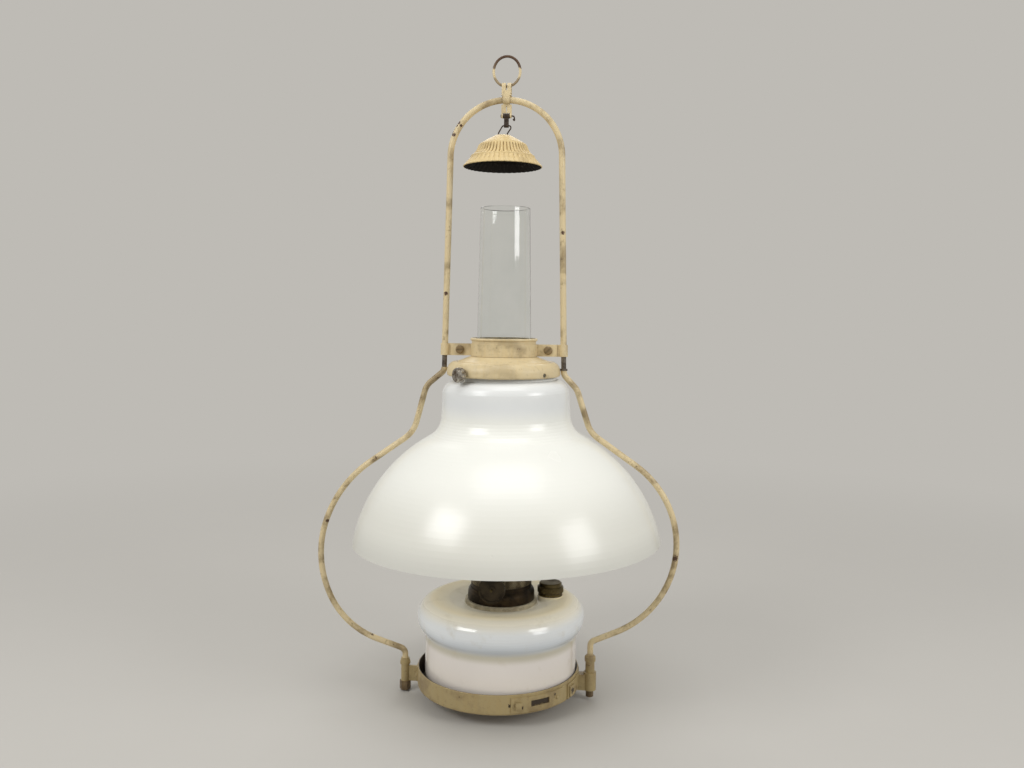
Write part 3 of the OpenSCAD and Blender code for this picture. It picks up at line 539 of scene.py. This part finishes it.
def stations(bends, step):
    """Points along a rod that starts at (0, 0) along +Y, in metres, with its heading."""
    x = y = heading = 0.0
    points = []
    for run, turn, radius in bends:
        if run > 0:
            points.append((x, y, heading))
        x += run * MM * math.sin(heading)
        y += run * MM * math.cos(heading)
        angle = math.radians(turn)
        reach = math.copysign(radius * MM, turn)
        count = math.ceil(abs(turn) / step)
        for i in range(count):
            now = heading + angle * i / count
            points.append((x + reach * (math.cos(heading) - math.cos(now)),
                           y + reach * (math.sin(now) - math.sin(heading)), now))
        end = heading + angle
        x += reach * (math.cos(heading) - math.cos(end))
        y += reach * (math.sin(end) - math.sin(heading))
        heading = end
    points.append((x, y, heading))
    return points


def line_mesh(name, points, radii, closed):
    """A chain of edges with the rod's radius at each point."""
    mesh = bpy.data.meshes.new(name)
    last = len(points) - 1
    mesh.from_pydata(points, [(i, i + 1) for i in range(last)] + ([(last, 0)] if closed else []), [])
    mesh.attributes.new("thick", "FLOAT", "POINT").data.foreach_set("value", radii)
    return mesh


def rod_tree():
    """A round rod along a chain of edges, with a seam pressed in along one side."""
    tree, given, made = group(
        "bent_rod", "GeometryNodeTree",
        {"Geometry": "Geometry", "Sides": "Int", "Seam": "Float", "Finish": "Material", "Bare Above": "Float",
         "Bare Finish": "Material"}, {"Geometry": "Geometry"})
    curve = one(tree, "GeometryNodeMeshToCurve", {0: given["Geometry"]})
    thick = put(tree, "GeometryNodeInputNamedAttribute", {"Name": "thick"}, data_type="FLOAT").outputs["Attribute"]
    curve = one(tree, "GeometryNodeSetCurveNormal", {0: curve, "Normal": (0, 1, 0)}, mode="FREE")
    outline = one(tree, "GeometryNodeCurvePrimitiveCircle", {"Resolution": given["Sides"], "Radius": 1.0})
    first = one(tree, "FunctionNodeCompare", {2: one(tree, "GeometryNodeInputIndex"), 3: 1},
                data_type="INT", operation="LESS_THAN")
    place = one(tree, "GeometryNodeInputPosition")
    inwards = vector(tree, "SCALE", {0: place, "Scale": times(tree, given["Seam"], -1.0)})
    outline = one(tree, "GeometryNodeSetPosition", {"Geometry": outline, "Selection": first, "Offset": inwards})
    skin = one(tree, "GeometryNodeCurveToMesh", {"Curve": curve, "Profile Curve": outline, "Scale": thick,
                                                 "Fill Caps": True})
    solid = one(tree, "GeometryNodeRealizeInstances", {0: skin})
    coated = one(tree, "GeometryNodeSetMaterial", {"Geometry": solid, "Material": given["Finish"]})
    above = one(tree, "FunctionNodeCompare", {0: axes(tree, place)["Z"], 1: given["Bare Above"]}, data_type="FLOAT",
                operation="GREATER_THAN")
    bare = one(tree, "GeometryNodeSetMaterial", {"Geometry": coated, "Selection": above,
                                                 "Material": given["Bare Finish"]})
    tree.links.new(bare, made["Geometry"])
    return tree


def rod(name, points, radii, finish, bare=None, above=1.0, seam=0.0, sides=None, closed=False):
    piece = new_piece(name, line_mesh(name, points, radii, closed))
    made_by(piece, shared(rod_tree, "bent_rod"), sides=sides or sizes().sides, seam=seam, finish=finish,
            bare_above=above, bare_finish=bare or finish)
    outward(piece.data)
    return piece


def turned(work, outline, count, turn=None):
    """Adds a closed outline of (radius, height) in mm, turned round the axis, to a mesh in work."""
    rings = []
    for i in range(count):
        a = 2 * math.pi * i / count
        ring = [Vector((r * MM * math.cos(a), r * MM * math.sin(a), z * MM)) for r, z in outline]
        rings.append([work.verts.new(turn @ p if turn else p) for p in ring])
    for i in range(count):
        a, b = rings[i], rings[(i + 1) % count]
        for j in range(len(outline)):
            k = (j + 1) % len(outline)
            work.faces.new((a[j], b[j], b[k], a[k]))


def radial(angle, height):
    """Turns +Z to the direction out from the axis at an angle from the front, at a height."""
    spun = Matrix.Rotation(angle, 4, "Z") @ Matrix.Rotation(math.radians(90), 4, "X")
    return Matrix.Translation((0, 0, height)) @ spun


def bell_tree():
    """Presses ribs and scallops into a turned bell; their depths are attributes of its points."""
    tree, given, made = group(
        "pressed_bell", "GeometryNodeTree",
        {"Geometry": "Geometry", "Scallops": "Int", "Ribs": "Int", "Depth": "Float", "Finish": "Material"},
        {"Geometry": "Geometry"})
    place = axes(tree, one(tree, "GeometryNodeInputPosition"))
    angle = calc(tree, "ARCTAN2", place["Y"], place["X"])
    reach = one(tree, "ShaderNodeCombineXYZ", {0: place["X"], 1: place["Y"]})

    def wave(count, label):
        """Sharp grooves between rounded ribs, count times round, times the depth held by the points."""
        turn = calc(tree, "SINE", times(tree, times(tree, angle, given[count]), 0.5))
        held = put(tree, "GeometryNodeInputNamedAttribute", {"Name": label}, data_type="FLOAT").outputs["Attribute"]
        part = minus(tree, 1.0, calc(tree, "ABSOLUTE", turn))
        return times(tree, times(tree, part, held), given["Depth"])

    scallop = wave("Scallops", "scallop")
    inwards = times(tree, plus(tree, wave("Ribs", "rib"), scallop), -1.0)
    shift = vector(tree, "SCALE", {0: vector(tree, "NORMALIZE", {0: reach}), "Scale": inwards})
    lift = one(tree, "ShaderNodeCombineXYZ", {2: times(tree, scallop, 0.5)})
    move = vector(tree, "ADD", {0: shift, 1: lift})
    pressed = one(tree, "GeometryNodeSetPosition", {"Geometry": given["Geometry"], "Offset": move})
    solid = one(tree, "GeometryNodeRealizeInstances", {0: pressed})
    coated = one(tree, "GeometryNodeSetMaterial", {"Geometry": solid, "Material": given["Finish"]})
    tree.links.new(coated, made["Geometry"])
    return tree


def gauze_tree():
    """Repeats a pierced cell in staggered rows, rolls them into a round wall and thickens it."""
    tree, given, made = group(
        "pierced_wall", "GeometryNodeTree",
        {"Geometry": "Geometry", "Columns": "Int", "Rows": "Int", "Width": "Float", "Step": "Float",
         "Radius": "Float", "Foot": "Float", "Sheet": "Float", "Finish": "Material"}, {"Geometry": "Geometry"})
    points = one(tree, "GeometryNodePoints", {"Count": times(tree, given["Columns"], given["Rows"])})
    index = one(tree, "GeometryNodeInputIndex")
    row = calc(tree, "FLOOR", calc(tree, "DIVIDE", index, given["Columns"]))
    column = calc(tree, "MODULO", index, given["Columns"])
    shifted = plus(tree, column, times(tree, calc(tree, "MODULO", row, 2.0), 0.5))
    up = plus(tree, given["Foot"], times(tree, row, given["Step"]))
    spot = one(tree, "ShaderNodeCombineXYZ", {0: times(tree, shifted, given["Width"]), 2: up})
    laid = one(tree, "GeometryNodeSetPosition", {"Geometry": points, "Position": spot})
    cells = one(tree, "GeometryNodeInstanceOnPoints", {"Points": laid, "Instance": given["Geometry"]})
    sheet = one(tree, "GeometryNodeRealizeInstances", {0: cells})
    flat = axes(tree, one(tree, "GeometryNodeInputPosition"))
    turn = calc(tree, "DIVIDE", flat["X"], given["Radius"])
    across = times(tree, calc(tree, "SINE", turn), given["Radius"])
    deep = times(tree, calc(tree, "COSINE", turn), times(tree, given["Radius"], -1.0))
    rolled = one(tree, "ShaderNodeCombineXYZ", {0: across, 1: deep, 2: flat["Z"]})
    wall = one(tree, "GeometryNodeSetPosition", {"Geometry": sheet, "Position": rolled})
    joined = one(tree, "GeometryNodeMergeByDistance", {"Geometry": wall, "Distance": 2e-5})
    thick = one(tree, "GeometryNodeExtrudeMesh", {"Mesh": joined, "Offset Scale": given["Sheet"],
                                                  "Individual": False}, mode="FACES")
    back = one(tree, "GeometryNodeFlipFaces", {0: joined})
    both = tree.nodes.new("GeometryNodeJoinGeometry")
    tree.links.new(thick, both.inputs[0])
    tree.links.new(back, both.inputs[0])
    closed = one(tree, "GeometryNodeMergeByDistance", {"Geometry": both.outputs[0], "Distance": 1e-5})
    coated = one(tree, "GeometryNodeSetMaterial", {"Geometry": closed, "Material": given["Finish"]})
    tree.links.new(coated, made["Geometry"])
    return tree


# Operators

class LAMP_OT_stage(bpy.types.Operator):
    """Camera, soft lights, pale floor and background"""
    bl_idname = "lamp.stage"
    bl_label = "Stage"

    def execute(self, context):
        scene = context.scene
        scene.view_settings.view_transform = "Standard"
        lens = bpy.data.cameras.new("camera")
        lens.sensor_width = FILM
        lens.lens = FOCAL / PICTURE * FILM
        lens.clip_start = 0.02
        camera = bpy.data.objects.new("camera", lens)
        scene.collection.objects.link(camera)
        side, turn, tip, roll = (math.radians(v) for v in CAMERA_ANGLES)
        stand = Vector((math.sin(side) * CAMERA_AWAY, -math.cos(side) * CAMERA_AWAY, CAMERA_LEVEL))
        aim = Matrix.Rotation(side - turn, 4, "Z") @ Matrix.Rotation(math.pi / 2 - tip, 4, "X")
        camera.matrix_world = Matrix.Translation(stand) @ aim @ Matrix.Rotation(-roll, 4, "Z")
        scene.camera = camera

        def area_light(name, shape, width, height, power, place):
            light = bpy.data.lights.new(name, "AREA")
            light.shape = shape
            light.size, light.size_y, light.energy = width, height, power
            holder = bpy.data.objects.new(name, light)
            scene.collection.objects.link(holder)
            holder.location = place
            return holder

        for name, azimuth, elevation, distance, width, height, power in SOFT_LIGHTS:
            a, e = math.radians(azimuth), math.radians(elevation)
            back = Vector((math.sin(a) * math.cos(e), -math.cos(a) * math.cos(e), math.sin(e)))
            lit = area_light(name, "RECTANGLE", width, height, power, Vector((0, 0, LIT_LEVEL)) + back * distance)
            lit.rotation_euler = back.to_track_quat("Z", "Y").to_euler()
        glow = area_light("light_through_shade", "DISK", 0.2, 0.2, 0.1, (0, 0, RIM + 0.08))
        glow.visible_camera = glow.visible_glossy = glow.visible_transmission = False

        tone = colours().floor
        world = bpy.data.worlds.new("studio")
        world.use_nodes = True
        tree = world.node_tree
        tree.nodes.clear()
        path = put(tree, "ShaderNodeLightPath")
        seen = calc(tree, "MAXIMUM", calc(tree, "MAXIMUM", path.outputs["Is Camera Ray"],
                                          path.outputs["Is Glossy Ray"]), path.outputs["Is Transmission Ray"])
        dim = put(tree, "ShaderNodeBackground", {"Color": (1, 0.99, 0.97, 1), "Strength": 0.5})
        shown = put(tree, "ShaderNodeBackground", {"Color": tone, "Strength": 1.0})
        mixed = put(tree, "ShaderNodeMixShader", {0: seen, 1: dim.outputs[0], 2: shown.outputs[0]})
        put(tree, "ShaderNodeOutputWorld", {"Surface": mixed.outputs[0]})
        scene.world = world

        work = bmesh.new()
        bmesh.ops.create_circle(work, cap_ends=True, segments=96, radius=9.0)
        bmesh.ops.translate(work, verts=work.verts, vec=(0, 0, FLOOR))
        mesh = bpy.data.meshes.new("floor")
        work.to_mesh(mesh)
        work.free()
        material = bpy.data.materials.new("floor_paper")
        material.use_nodes = True
        tree = material.node_tree
        shader = tree.nodes["Principled BSDF"]
        place = put(tree, "ShaderNodeTexCoord").outputs["Object"]
        grain = noise(tree, place, 9.0, 6.0, 0.6)
        tree.links.new(blend_colour(tree, grain, tuple(c * 0.97 for c in tone[:3]) + (1,), tone),
                       shader.inputs["Base Color"])
        shader.inputs["Roughness"].default_value = 0.9
        shader.inputs["Specular IOR Level"].default_value = 0.1
        fade = step_mask(tree, vector(tree, "LENGTH", {0: place}), 0.55, 1.8)
        flat = put(tree, "ShaderNodeEmission", {"Color": tone, "Strength": 1.0})
        mixed = put(tree, "ShaderNodeMixShader", {0: fade, 1: shader.outputs[0], 2: flat.outputs[0]})
        tree.links.new(mixed.outputs[0], tree.nodes["Material Output"].inputs["Surface"])
        new_piece("floor", mesh, [material])
        return {"FINISHED"}


class LAMP_OT_hanger(bpy.types.Operator):
    """Finishes of the ring, strap, pin and link at the top"""
    bl_idname = "lamp.hanger"
    bl_label = "Hanger"

    def execute(self, context):
        tone = colours()
        ring = painted("ring_rust_and_paint", tone.rust, dirt=0.4, chips=0.2)

        def paint_left(tree, place):
            """The ring's paint is left on its sides, and half gone at its foot."""
            ragged = plus(tree, axes(tree, place)["Z"], times(tree, noise(tree, place, 500.0), 0.006))
            bare = times(tree, step_mask(tree, ragged, -0.014, -0.018), 0.65)
            return minus(tree, step_mask(tree, ragged, -0.0065, -0.0085), bare)

        overlay(ring, paint_left, tone.cream)
        want = sizes()
        wide, high = (want.ring_w - want.ring_d) / 2, (want.ring_h - want.ring_d) / 2
        turns = [2 * math.pi * i / 96 for i in range(96)]
        points = [Vector((wide * math.cos(a), 0, want.ring_d / 2 - high + high * math.sin(a))) for a in turns]
        hoop = rod("hanging_wire_ring", points, [want.ring_d / 2] * 96, ring, sides=20, closed=True)
        settle(hoop, "ring", "rusty_steel", "hanging_ring")
        wear(painted("strap_paint", tone.cream, dirt=0.6, chips=0.45, strength=0.8), "hanger_strap")
        # The pin as (x, height, radius): a head at its left end, then the curl with a knob at its end
        curl = [(x + 0.0052, y) for x, y in ((b, -a) for a, b, _ in stations(CURL_BENDS, 10))]
        chain = [(-0.0057, 0, 0.0013), (-0.0056, 0, 0.0016), (-0.005, 0, 0.0016), (-0.00499, 0, 0.001),
                 (0.0051, 0, 0.001)]
        chain += [(x, z, 0.0007 if i < len(curl) - 5 else 0.0013) for i, (x, z) in enumerate(curl[:-1])]
        chain.append((curl[-1][0], curl[-1][1], 0.0009))
        rust = metal("pin_rust", tone.rust, tint(40, 30, 24), 200.0, 0.45, 0.4)
        points = [Vector((x, 0, HANGER_PIN + z)) for x, z, _ in chain]
        pin = rod("hanger_curled_pin", points, [r for _, _, r in chain], rust, sides=16)
        settle(pin, "hanger", "rusty_steel", "hanger_pin")
        wear(metal("link_steel", tint(92, 80, 70), tint(48, 40, 34), 260.0, 0.35, 0.7), "bell_link")
        return {"FINISHED"}


class LAMP_OT_bell(bpy.types.Operator):
    """Fluted and scalloped smoke bell with its wire loop"""
    bl_idname = "lamp.bell"
    bl_label = "Smoke bell"

    def execute(self, context):
        want = sizes()
        outer = []
        for i in range(len(BELL_OUTLINE) - 1):
            a, b = BELL_OUTLINE[i], BELL_OUTLINE[i + 1]
            outer += [tuple(p + (q - p) * k / 3 for p, q in zip(a, b)) for k in range(3)]
        outer.append(BELL_OUTLINE[-1])
        line = [Vector((r * want.bell_r, -h * want.bell_h)) for r, h, _, _ in outer]
        inner = []
        for i, p in enumerate(line):
            run = (line[min(i + 1, len(line) - 1)] - line[max(i - 1, 0)]).normalized()
            inner.append(p + Vector((run.y, -run.x)) * want.bell_t)
        path = list(zip(line, outer)) + list(zip(inner, outer))[::-1]
        round_it = want.scallops * 12
        turns = [2 * math.pi * k / round_it for k in range(round_it)]
        points = [(p.x * math.cos(a), p.x * math.sin(a), p.y) for p, _ in path for a in turns]
        last = len(path) - 1
        beside = [(k, (k + 1) % round_it) for k in range(round_it)]
        faces = [(i * round_it + k, (i + 1) * round_it + k, (i + 1) * round_it + n, i * round_it + n)
                 for i in range(last) for k, n in beside]
        points += [(0, 0, path[0][0].y), (0, 0, path[last][0].y)]
        faces += [(len(points) - 2, k, n) for k, n in beside]
        faces += [(len(points) - 1, last * round_it + n, last * round_it + k) for k, n in beside]
        mesh = bpy.data.meshes.new("smoke_bell_pressed")
        mesh.from_pydata(points, [], faces)
        for column, label in ((2, "rib"), (3, "scallop")):
            depths = [held[column] for _, held in path for _ in turns] + [0, 0]
            mesh.attributes.new(label, "FLOAT", "POINT").data.foreach_set("value", depths)
        bell = new_piece("smoke_bell_pressed", mesh)
        paint = painted("bell_paint", colours().bell, dirt=0.28, chips=0.12, strength=0.6)
        made_by(bell, bell_tree(), scallops=want.scallops, ribs=want.ribs, depth=MM, finish=paint)
        mesh = bell.data
        for label in ("rib", "scallop"):
            mesh.attributes.remove(mesh.attributes[label])
        mesh.transform(Matrix.Translation((BELL_X, 0, BELL_TOP)))
        outward(mesh)
        # Painted shade in the grooves between the crown's ribs and between the skirt's scallops.
        for ribs, wide, low, high, amount in ((want.ribs, 0.34, 0.675, 0.33, 0.9),
                                              (want.scallops, 0.26, 0.88, 0.74, 0.55)):
            def groove_shade(tree, place):
                lines = shader_group(tree, grooves_group, "grooves",
                                     {"Vector": place, "Axis X": BELL_X, "Ribs": ribs, "Width": wide,
                                      "Low": BELL_TOP - low * want.bell_h, "High": BELL_TOP - high * want.bell_h})
                return times(tree, lines[0], amount)

            overlay(paint, groove_shade, tint(118, 84, 44))
        mesh.materials.append(soot())
        # Soot inside, where faces look down or in
        for face in mesh.polygons:
            away = Vector((face.center.x - BELL_X, face.center.y, 0))
            facing = face.normal.dot(away.normalized() if away.length > 1e-5 else Vector((0, 0, 1)))
            face.material_index = 1 if face.normal.z < -0.05 and facing < 0.3 or facing < -0.1 else 0
        settle(bell, "bell", "cream_paint", "smoke_bell", angle=40.0)
        points = [Vector((x - 0.0078, 0, BELL_TOP + y)) for x, y, _ in stations(LOOP_BENDS, 10)]
        wire = metal("loop_rust", tint(84, 70, 58), tint(44, 34, 28), 300.0, 0.4, 0.6)
        loop = rod("bell_wire_loop", points, [want.loop_d / 2] * len(points), wire, sides=16)
        settle(loop, "bell", "rusty_steel", "bell_loop")
        return {"FINISHED"}


class LAMP_OT_bail(bpy.types.Operator):
    """Bail bent from rolled tube, with its seam on the inside"""
    bl_idname = "lamp.bail"
    bl_label = "Bail"

    def execute(self, context):
        bends = [(LEG / MM, 180 - 2 * math.degrees(LEAN), ARCH / MM), (LEG / MM, 0, 1)]
        points = []
        for x, y, _ in stations(bends, 3):
            points.append(Vector((x * math.cos(LEAN) + y * math.sin(LEAN) - LEG_X, 0,
                                  y * math.cos(LEAN) - x * math.sin(LEAN) + LEG_END)))
        patches = [((-0.0468, -0.002, -0.0628), 0.0021), ((-0.0448, -0.003, -0.0655), 0.0017),
                   ((-0.0492, -0.002, -0.0652), 0.0015), ((-0.0535, -0.001, -0.0722), 0.0022),
                   ((-0.0518, -0.003, -0.0745), 0.0022), ((0.0575, -0.003, -0.17), 0.0022),
                   ((-0.0588, -0.003, -0.231), 0.0022)]
        finish = painted("bail_paint", colours().cream, dirt=0.75, chips=0.42, patches=patches)
        bail = rod("bail_tube", points, [sizes().bail_d / 2] * len(points), finish, seam=sizes().seam)
        settle(bail, "frame", "cream_paint", "bail")
        return {"FINISHED"}


class LAMP_OT_arms(bpy.types.Operator):
    """Bent arms from the bail's ends down to the band"""
    bl_idname = "lamp.arms"
    bl_label = "Arms"

    def execute(self, context):
        bare = metal("plug_steel", colours().steel, tint(66, 56, 48), 220.0, 0.35, 0.7)
        radius = sizes().rod_d / 2
        for name, way, bends, low, shoulder, patches in (
                ("left_arm", -1, LEFT_BENDS, LEG_END - 0.3505, 0.0,
                 [(-0.152, -0.428, 0.004), (-0.1817, -0.4667, 0.002), (-0.184, -0.511, 0.0024),
                  (-0.1675, -0.552, 0.0034), (-0.153, -0.571, 0.0026), (-0.134, -0.584, 0.003),
                  (-0.1155, -0.5885, 0.0022)]),
                ("right_arm", 1, RIGHT_BENDS, LEG_END - 0.3485, 0.0018,
                 [(0.175, -0.493, 0.0034), (0.175, -0.5164, 0.002), (0.15, -0.557, 0.003), (0.1406, -0.5655, 0.0034),
                  (0.125, -0.5765, 0.003), (0.098, -0.585, 0.0022)])):
            path = stations(bends, 3)
            drop = ARM_TOP - low
            end = path[-1][0]
            chain = [(-PLUG * math.sin(LEAN), -PLUG * math.cos(LEAN), PLUG_R), (0, -STEP, PLUG_R)]
            if shoulder:
                chain += [(0, 0, radius + SHOULDER), (0, shoulder, radius + SHOULDER), (0, shoulder + STEP, radius)]
            else:
                chain += [(0, 0, radius)]
            chain += [(x, y, radius) for x, y, _ in path[1:]]
            chain += [(end, drop - THREAD, radius), (end, drop - THREAD + STEP, THREAD_R), (end, drop, THREAD_R)]
            points = [Vector((way * (ARM_X + x), 0, ARM_TOP - y)) for x, y, _ in chain]
            finish = painted(name + "_paint", colours().cream, dirt=0.85, chips=0.4,
                             patches=[((x, -0.002, z), spread) for x, z, spread in patches])
            arm = rod(name + "_rod", points, [r for _, _, r in chain], finish, bare, ARM_TOP - shoulder - 2 * STEP)
            settle(arm, "frame", "cream_paint", name)
        return {"FINISHED"}


class LAMP_OT_holder(bpy.types.Operator):
    """Finishes of the shade's holder, its clamp and its thumb screws"""
    bl_idname = "lamp.holder"
    bl_label = "Shade holder"

    def execute(self, context):
        tone = colours()
        wear(painted("holder_paint", tone.cream, dirt=0.35, chips=0.12, strength=0.35), "shade_fitter")
        wear(painted("strap_paint_worn", tone.cream, dirt=0.6, chips=0.35), "front_clamp_strap", "rear_clamp_strap")
        wear(painted("screw_paint", tone.grime, dirt=0.6, chips=0.8, strength=0.8), "clamp_screws")
        wear(metal("nut_rust", tone.rust, tint(44, 34, 26), 260.0, 0.45, 0.5), "clamp_nuts")
        wear(metal("thumb_nickel", tone.nickel, tint(96, 84, 70), 260.0, 0.16, 1.0),
             "shade_screw_front", "shade_screw_right", "shade_screw_left")
        return {"FINISHED"}


class LAMP_OT_glass(bpy.types.Operator):
    """Opal shade and font, clear chimney"""
    bl_idname = "lamp.glass"
    bl_label = "Glass"

    def execute(self, context):
        wear(opal_shade(), "shade")
        wear(opal_font(), "font")
        wear(clear_glass(), "chimney")
        return {"FINISHED"}


class LAMP_OT_band(bpy.types.Operator):
    """Finishes of the font's band, clasp, rivets and eyes"""
    bl_idname = "lamp.band"
    bl_label = "Font band"

    def execute(self, context):
        tone = colours()

        def on_band(angle, height, radius, reach=0.0825):
            turn = math.radians(angle)
            return (BAND_X + reach * math.sin(turn), -reach * math.cos(turn), BAND_FOOT + height), radius

        # Dark patches along the clasp's slot and at a small hole: painted shade in these recesses.
        slot_shade = [on_band(28 + 1.5 * k, 0.0104, 0.0042) for k in range(12)] + [on_band(14, 0.01, 0.0016)]
        band = painted("band_paint", tone.olive, dirt=0.75, chips=0.3, patches=slot_shade, strength=0.6,
                       under=tint(52, 40, 26))

        def inside(tree, place):
            """The band's inner wall, above its flange, darkened as painted shade in the gap round the font."""
            level = vector(tree, "MULTIPLY", {0: vector(tree, "ADD", {0: place, 1: (-BAND_X, 0, 0)}), 1: (1, 1, 0)})
            return times(tree, step_mask(tree, vector(tree, "LENGTH", {0: level}), 0.0819, 0.0813),
                         step_mask(tree, axes(tree, place)["Z"], BAND_FOOT + 0.0007, BAND_FOOT + 0.0014))

        # Painted shade on the band's inner wall.
        overlay(band, inside, tint(50, 40, 28))
        wear(band, "font_band")
        # Dark patches on the clasp and rivets, at the hole beside the rivet and at two small spots: painted shade.
        plate_shade = [on_band(67, 0.0088, 0.0034, 0.0852), on_band(22.4, 0.0075, 0.0018, 0.0838),
                      on_band(48, 0.0135, 0.0012, 0.0838)]
        plate = painted("clasp_paint", tone.olive, dirt=0.8, chips=0.42, patches=plate_shade, strength=0.8,
                        under=tint(62, 48, 32))
        wear(plate, "band_clasp", "band_rivets")
        wear(painted("socket_paint", tone.olive, dirt=1.0, chips=0.5, strength=0.9),
             "left_socket", "right_socket", "arm_collars")
        wear(painted("nut_paint", tint(96, 78, 52), dirt=0.9, chips=0.8, strength=0.8), "arm_nuts")
        return {"FINISHED"}


class LAMP_OT_burner(bpy.types.Operator):
    """Burner with its pierced basket, wick parts, gallery and filler"""
    bl_idname = "lamp.burner"
    bl_label = "Burner"

    def execute(self, context):
        tone = colours()
        want = sizes()
        dark = metal("burner_bronze", tone.bronze, tint(34, 28, 22), 90.0, 0.3, 0.85)
        wear(dark, "burner_base", "outer_wick_tube", "inner_wick_tube", "flame_spreader", "gallery")
        wear(metal("wheel_brass", tint(66, 57, 42), tint(42, 36, 28), 80.0, 0.3, 0.8), "thumbwheel")
        wear(metal("old_brass_tarnish", tone.brass, tint(66, 56, 32), 70.0, 0.26, 0.85),
             "wick_shaft", "wick_pinion", "wick_carrier", "filler_neck", "filler_cap")
        wear(metal("collar_steel", tint(206, 196, 170), tint(160, 150, 128), 70.0, 0.4, 0.4), "font_collar")
        wear(rubber(), "filler_gasket")
        wear(woven_wick(), "wick")
        work = bmesh.new()
        # The basket's foot and top rims, the boss and flange round the wheel's shaft, and four bayonet pins
        turned(work, [(30.2, 12.5), (31, 12.5), (31, 16.8), (30.2, 16.8)], 96)
        turned(work, [(30.2, 48.6), (31, 48.6), (31, 54.2), (30.7, 54.5), (25, 54.5), (25, 53.7), (30.2, 53.7)], 96)
        shaft = radial(WHEEL_TURN, SHAFT_RISE)
        turned(work, [(1.56, 30.4), (3.4, 30.4), (3.4, 34), (3, 34.4), (1.56, 34.4)], 40, shaft)
        turned(work, [(1.56, 30.1), (5.6, 30.1), (5.6, 31.1), (1.56, 31.1)], 40, shaft)
        for k in range(4):
            turned(work, [(0.001, 30.6), (0.9, 30.6), (0.9, 32.2), (0.6, 32.5), (0.001, 32.5)], 20,
                   radial(math.radians(20 + 90 * k), 51.6 * MM))
        bmesh.ops.remove_doubles(work, verts=work.verts, dist=2e-6)
        bmesh.ops.recalc_face_normals(work, faces=work.faces)
        mesh = bpy.data.meshes.new("basket_rims")
        work.to_mesh(mesh)
        work.free()
        mesh.transform(Matrix.Translation((0, 0, BURNER)))
        rims = new_piece("basket_rims", mesh, [dark])
        settle(rims, "font", "bronze", "burner_basket")

        # The gauze's bronze is a lighter copy of the burner's bronze: painted light on the pierced wall.
        lit = metal("gauze_bronze", tint(150, 138, 112), tint(84, 74, 56), 110.0, 0.34, 0.8)
        radius = 30.3 * MM
        width = 2 * math.pi * radius / want.hole_columns
        rise = 33.2 * MM / want.hole_rows
        part = want.hole_part
        edge = [(width / 2, 0), (0, rise), (-width / 2, 0), (0, -rise)]
        cell = bpy.data.meshes.new("basket_gauze")
        cell.from_pydata([(x, 0, z) for x, z in edge] + [(x * part, 0, z * part) for x, z in edge], [],
                         [(i, (i + 1) % 4, (i + 1) % 4 + 4, i + 4) for i in range(4)])
        gauze = new_piece("basket_gauze", cell)
        made_by(gauze, gauze_tree(), columns=want.hole_columns, rows=want.hole_rows, width=width, step=rise,
                radius=radius, foot=BURNER + 16.2 * MM, sheet=0.5 * MM, finish=lit)
        settle(gauze, "font", "bronze", "burner_basket")
        return {"FINISHED"}


class LAMP_PT_panel(bpy.types.Panel):
    bl_label = "Hanging oil lamp"
    bl_idname = "LAMP_PT_panel"
    bl_space_type = "VIEW_3D"
    bl_region_type = "UI"
    bl_category = "Lamp"

    def draw(self, context):
        for operator in OPERATORS:
            self.layout.operator(operator.bl_idname)
        for held in (context.scene.lamp_sizes, context.scene.lamp_colours):
            box = self.layout.box()
            for label in held.__annotations__:
                box.prop(held, label)


OPERATORS = (LAMP_OT_stage, LAMP_OT_hanger, LAMP_OT_bell, LAMP_OT_bail, LAMP_OT_arms, LAMP_OT_holder, LAMP_OT_glass,
             LAMP_OT_band, LAMP_OT_burner)
CLASSES = (LampSizes, LampColours) + OPERATORS + (LAMP_PT_panel,)


def register():
    for item in CLASSES:
        bpy.utils.register_class(item)
    bpy.types.Scene.lamp_sizes = bpy.props.PointerProperty(type=LampSizes)
    bpy.types.Scene.lamp_colours = bpy.props.PointerProperty(type=LampColours)


def unregister():
    del bpy.types.Scene.lamp_sizes
    del bpy.types.Scene.lamp_colours
    for item in reversed(CLASSES):
        bpy.utils.unregister_class(item)


def main():
    register()
    bpy.ops.lamp.stage()
    bpy.ops.lamp.hanger()
    bpy.ops.lamp.bell()
    bpy.ops.lamp.bail()
    bpy.ops.lamp.arms()
    bpy.ops.lamp.holder()
    bpy.ops.lamp.glass()
    bpy.ops.lamp.band()
    bpy.ops.lamp.burner()
    bpy.context.view_layer.update()


if __name__ == "__main__":
    main()
